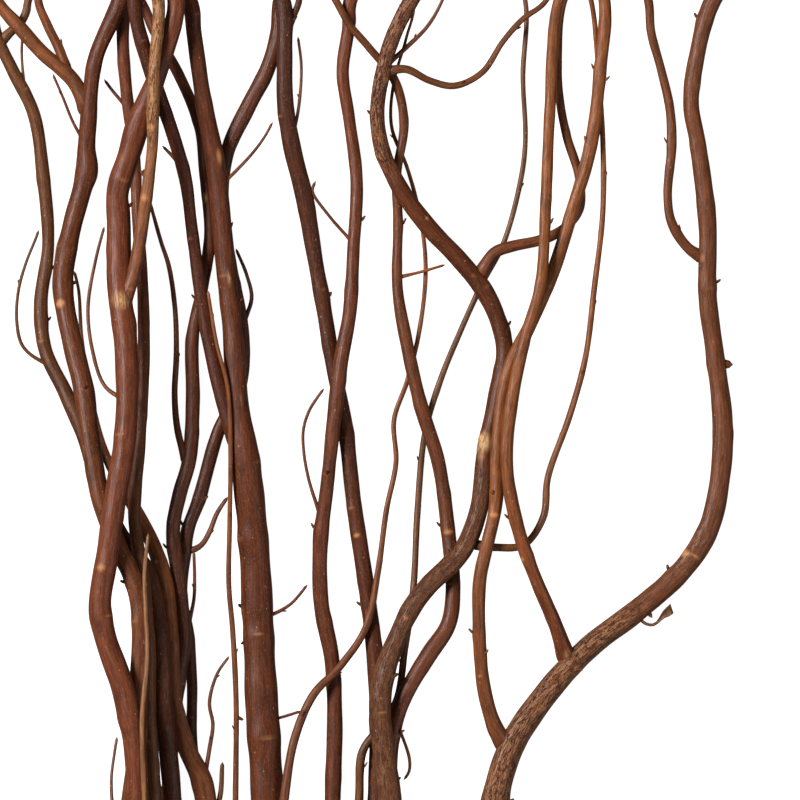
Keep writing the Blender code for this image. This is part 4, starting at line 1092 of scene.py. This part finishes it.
def bark(kind):
    """Satin bark with fibres, streaks, small light pores, cracks with painted shade in their grooves, pale
    nodes, torn wood and cut wood.
    """
    material = bpy.data.materials.get("bark_" + kind)
    if material is not None and material.get("fine"):
        return material
    material = bpy.data.materials.new("bark_" + kind)
    material["fine"] = 1
    nodes = Nodes(material)
    grain = nodes.attribute("grain", "Vector")
    fibre, streak, patch, speck, fleck, weave = (nodes.noise(grain, *values) for values in NOISES.values())
    hue = nodes.attribute("hue", "Color")
    dull, lively, pale, shade = (nodes.scaled(hue, factors) for factors in (DULL, LIVELY, PALE, DEEP))
    colour = nodes.mix(nodes.between(fibre, 0.36, 0.66), dull, lively)
    colour = nodes.mix(nodes.between(streak, 0.52, 0.72, 0.0, 0.35), colour, pale)
    colour = nodes.mix(nodes.between(patch, 0.5, 0.68, 0.0, 0.5), colour, shade)
    colour = nodes.mix(nodes.between(speck, 0.60, 0.74, 0.0, 0.4), colour, shade)
    flecks = nodes.math("MULTIPLY", nodes.between(fleck, 0.58, 0.70, 0.0, 0.5), patch)
    colour = nodes.mix(flecks, colour, (*FLECK, 1))
    pore = nodes.cells(nodes.scaled(grain, (1.0, 1.0, PORES[0])), PORES[1])
    dots = nodes.between(pore, 0.05, 0.085, 0.6, 0.0)
    colour = nodes.mix(dots, colour, (*PORE, 1))
    crack = nodes.attribute("crack", "Fac")
    depth = nodes.math("ABSOLUTE", nodes.math("SUBTRACT", weave, 0.5))
    ridge = nodes.math("MULTIPLY", nodes.between(depth, 0.03, 0.10), nodes.between(speck, 0.38, 0.55))
    raised = nodes.math("MULTIPLY", ridge, nodes.math("MULTIPLY", crack, 0.75))
    colour = nodes.mix(raised, colour, (*RIDGE, 1))
    # painted shade: the grooves of cracked bark get a near-black colour for the shade in the crevices; the
    # same mask sinks the bump
    groove = nodes.math("MULTIPLY", nodes.between(depth, 0.0, 0.035, 1.0, 0.0), crack)
    colour = nodes.mix(nodes.math("MULTIPLY", groove, 0.85), colour, (*GROOVE_SHADE, 1))
    wood = nodes.mix(nodes.between(fibre, 0.35, 0.65), (*TORN_DARK, 1), (*TORN_LIGHT, 1))
    torn = nodes.between(nodes.attribute("scar", "Fac"), 0.12, 0.75, 0.0, 0.9)
    colour = nodes.mix(torn, colour, wood)
    node = nodes.between(nodes.attribute("mark", "Fac"), 0.15, 0.8, 0.0, 0.85)
    colour = nodes.mix(node, colour, (*NODE, 1))
    rings = nodes.mix(nodes.between(speck, 0.4, 0.62), (*CUT_DARK, 1), (*CUT_LIGHT, 1))
    colour = nodes.mix(nodes.attribute("cut", "Fac"), colour, rings)
    nodes.link(nodes.shader.inputs["Base Color"], colour)
    nodes.link(nodes.shader.inputs["Roughness"], nodes.between(fibre, 0.35, 0.65, *ROUGH))
    set_inputs(nodes.shader, {"Metallic": 0.0, "Specular IOR Level": SHEEN})
    height = nodes.math("ADD", nodes.math("MULTIPLY", fibre, 0.55), nodes.math("MULTIPLY", speck, 0.2))
    height = nodes.math("SUBTRACT", height, nodes.math("MULTIPLY", groove, 1.1))
    bump = nodes.tree.nodes.new("ShaderNodeBump")
    set_inputs(bump, {"Strength": BUMP[0], "Distance": BUMP[1]})
    nodes.link(bump.inputs["Height"], height)
    nodes.link(nodes.shader.inputs["Normal"], bump.outputs["Normal"])
    return material


def make_floor():
    mesh = bpy.data.meshes.new("floor")
    half = FLOOR_SIZE / 2
    corners = [(-half, -half), (half, -half), (half, half), (-half, half)]
    mesh.from_pydata([(x, y, FLOOR_LEVEL) for x, y in corners], [], [(0, 1, 2, 3)])
    floor = place("floor", mesh)
    paint = bpy.data.materials.new("floor")
    paint.use_nodes = True
    matt = {"Base Color": FLOOR_GREY, "Roughness": 1.0, "Specular IOR Level": 0.0}
    glow = {"Emission Color": WHITE, "Emission Strength": FLOOR_GLOW}
    set_inputs(paint.node_tree.nodes["Principled BSDF"], matt | glow)
    mesh.materials.append(paint)
    floor.visible_diffuse = False
    floor.visible_glossy = False


def make_light(name, place_at, size, power):
    light = bpy.data.lights.new(name, "AREA")
    light.size = size
    light.energy = power
    made = place(name, light)
    made.location = place_at
    aim = Vector((0, 0, 0)) - made.location
    made.rotation_euler = aim.to_track_quat("-Z", "Y").to_euler()


def make_stage():
    """White floor, soft light mostly from the left and above, and the camera straight above."""
    make_floor()
    for name, values in LIGHTS.items():
        make_light(name, *values)
    world = bpy.data.worlds.new("studio")
    bpy.context.scene.world = world
    world.use_nodes = True
    set_inputs(world.node_tree.nodes["Background"], {"Color": WHITE, "Strength": WORLD_GLOW})
    view = bpy.data.cameras.new("view")
    view.lens = LENS
    view.sensor_width = SENSOR
    view.clip_end = 20.0
    camera = place("view", view)
    away = VIEW_SIZE * LENS / SENSOR
    camera.location = (-CENTRE_X * MM, -CENTRE_Y * MM, VIEW_HEIGHT + away)
    bpy.context.scene.camera = camera
    bpy.context.scene.view_settings.view_transform = "Standard"


def main():
    for name, shoots in lay_all(random.Random(SEED)).items():
        make_piece(name, shoots, STEMS[name][0])
    make_stage()


main()
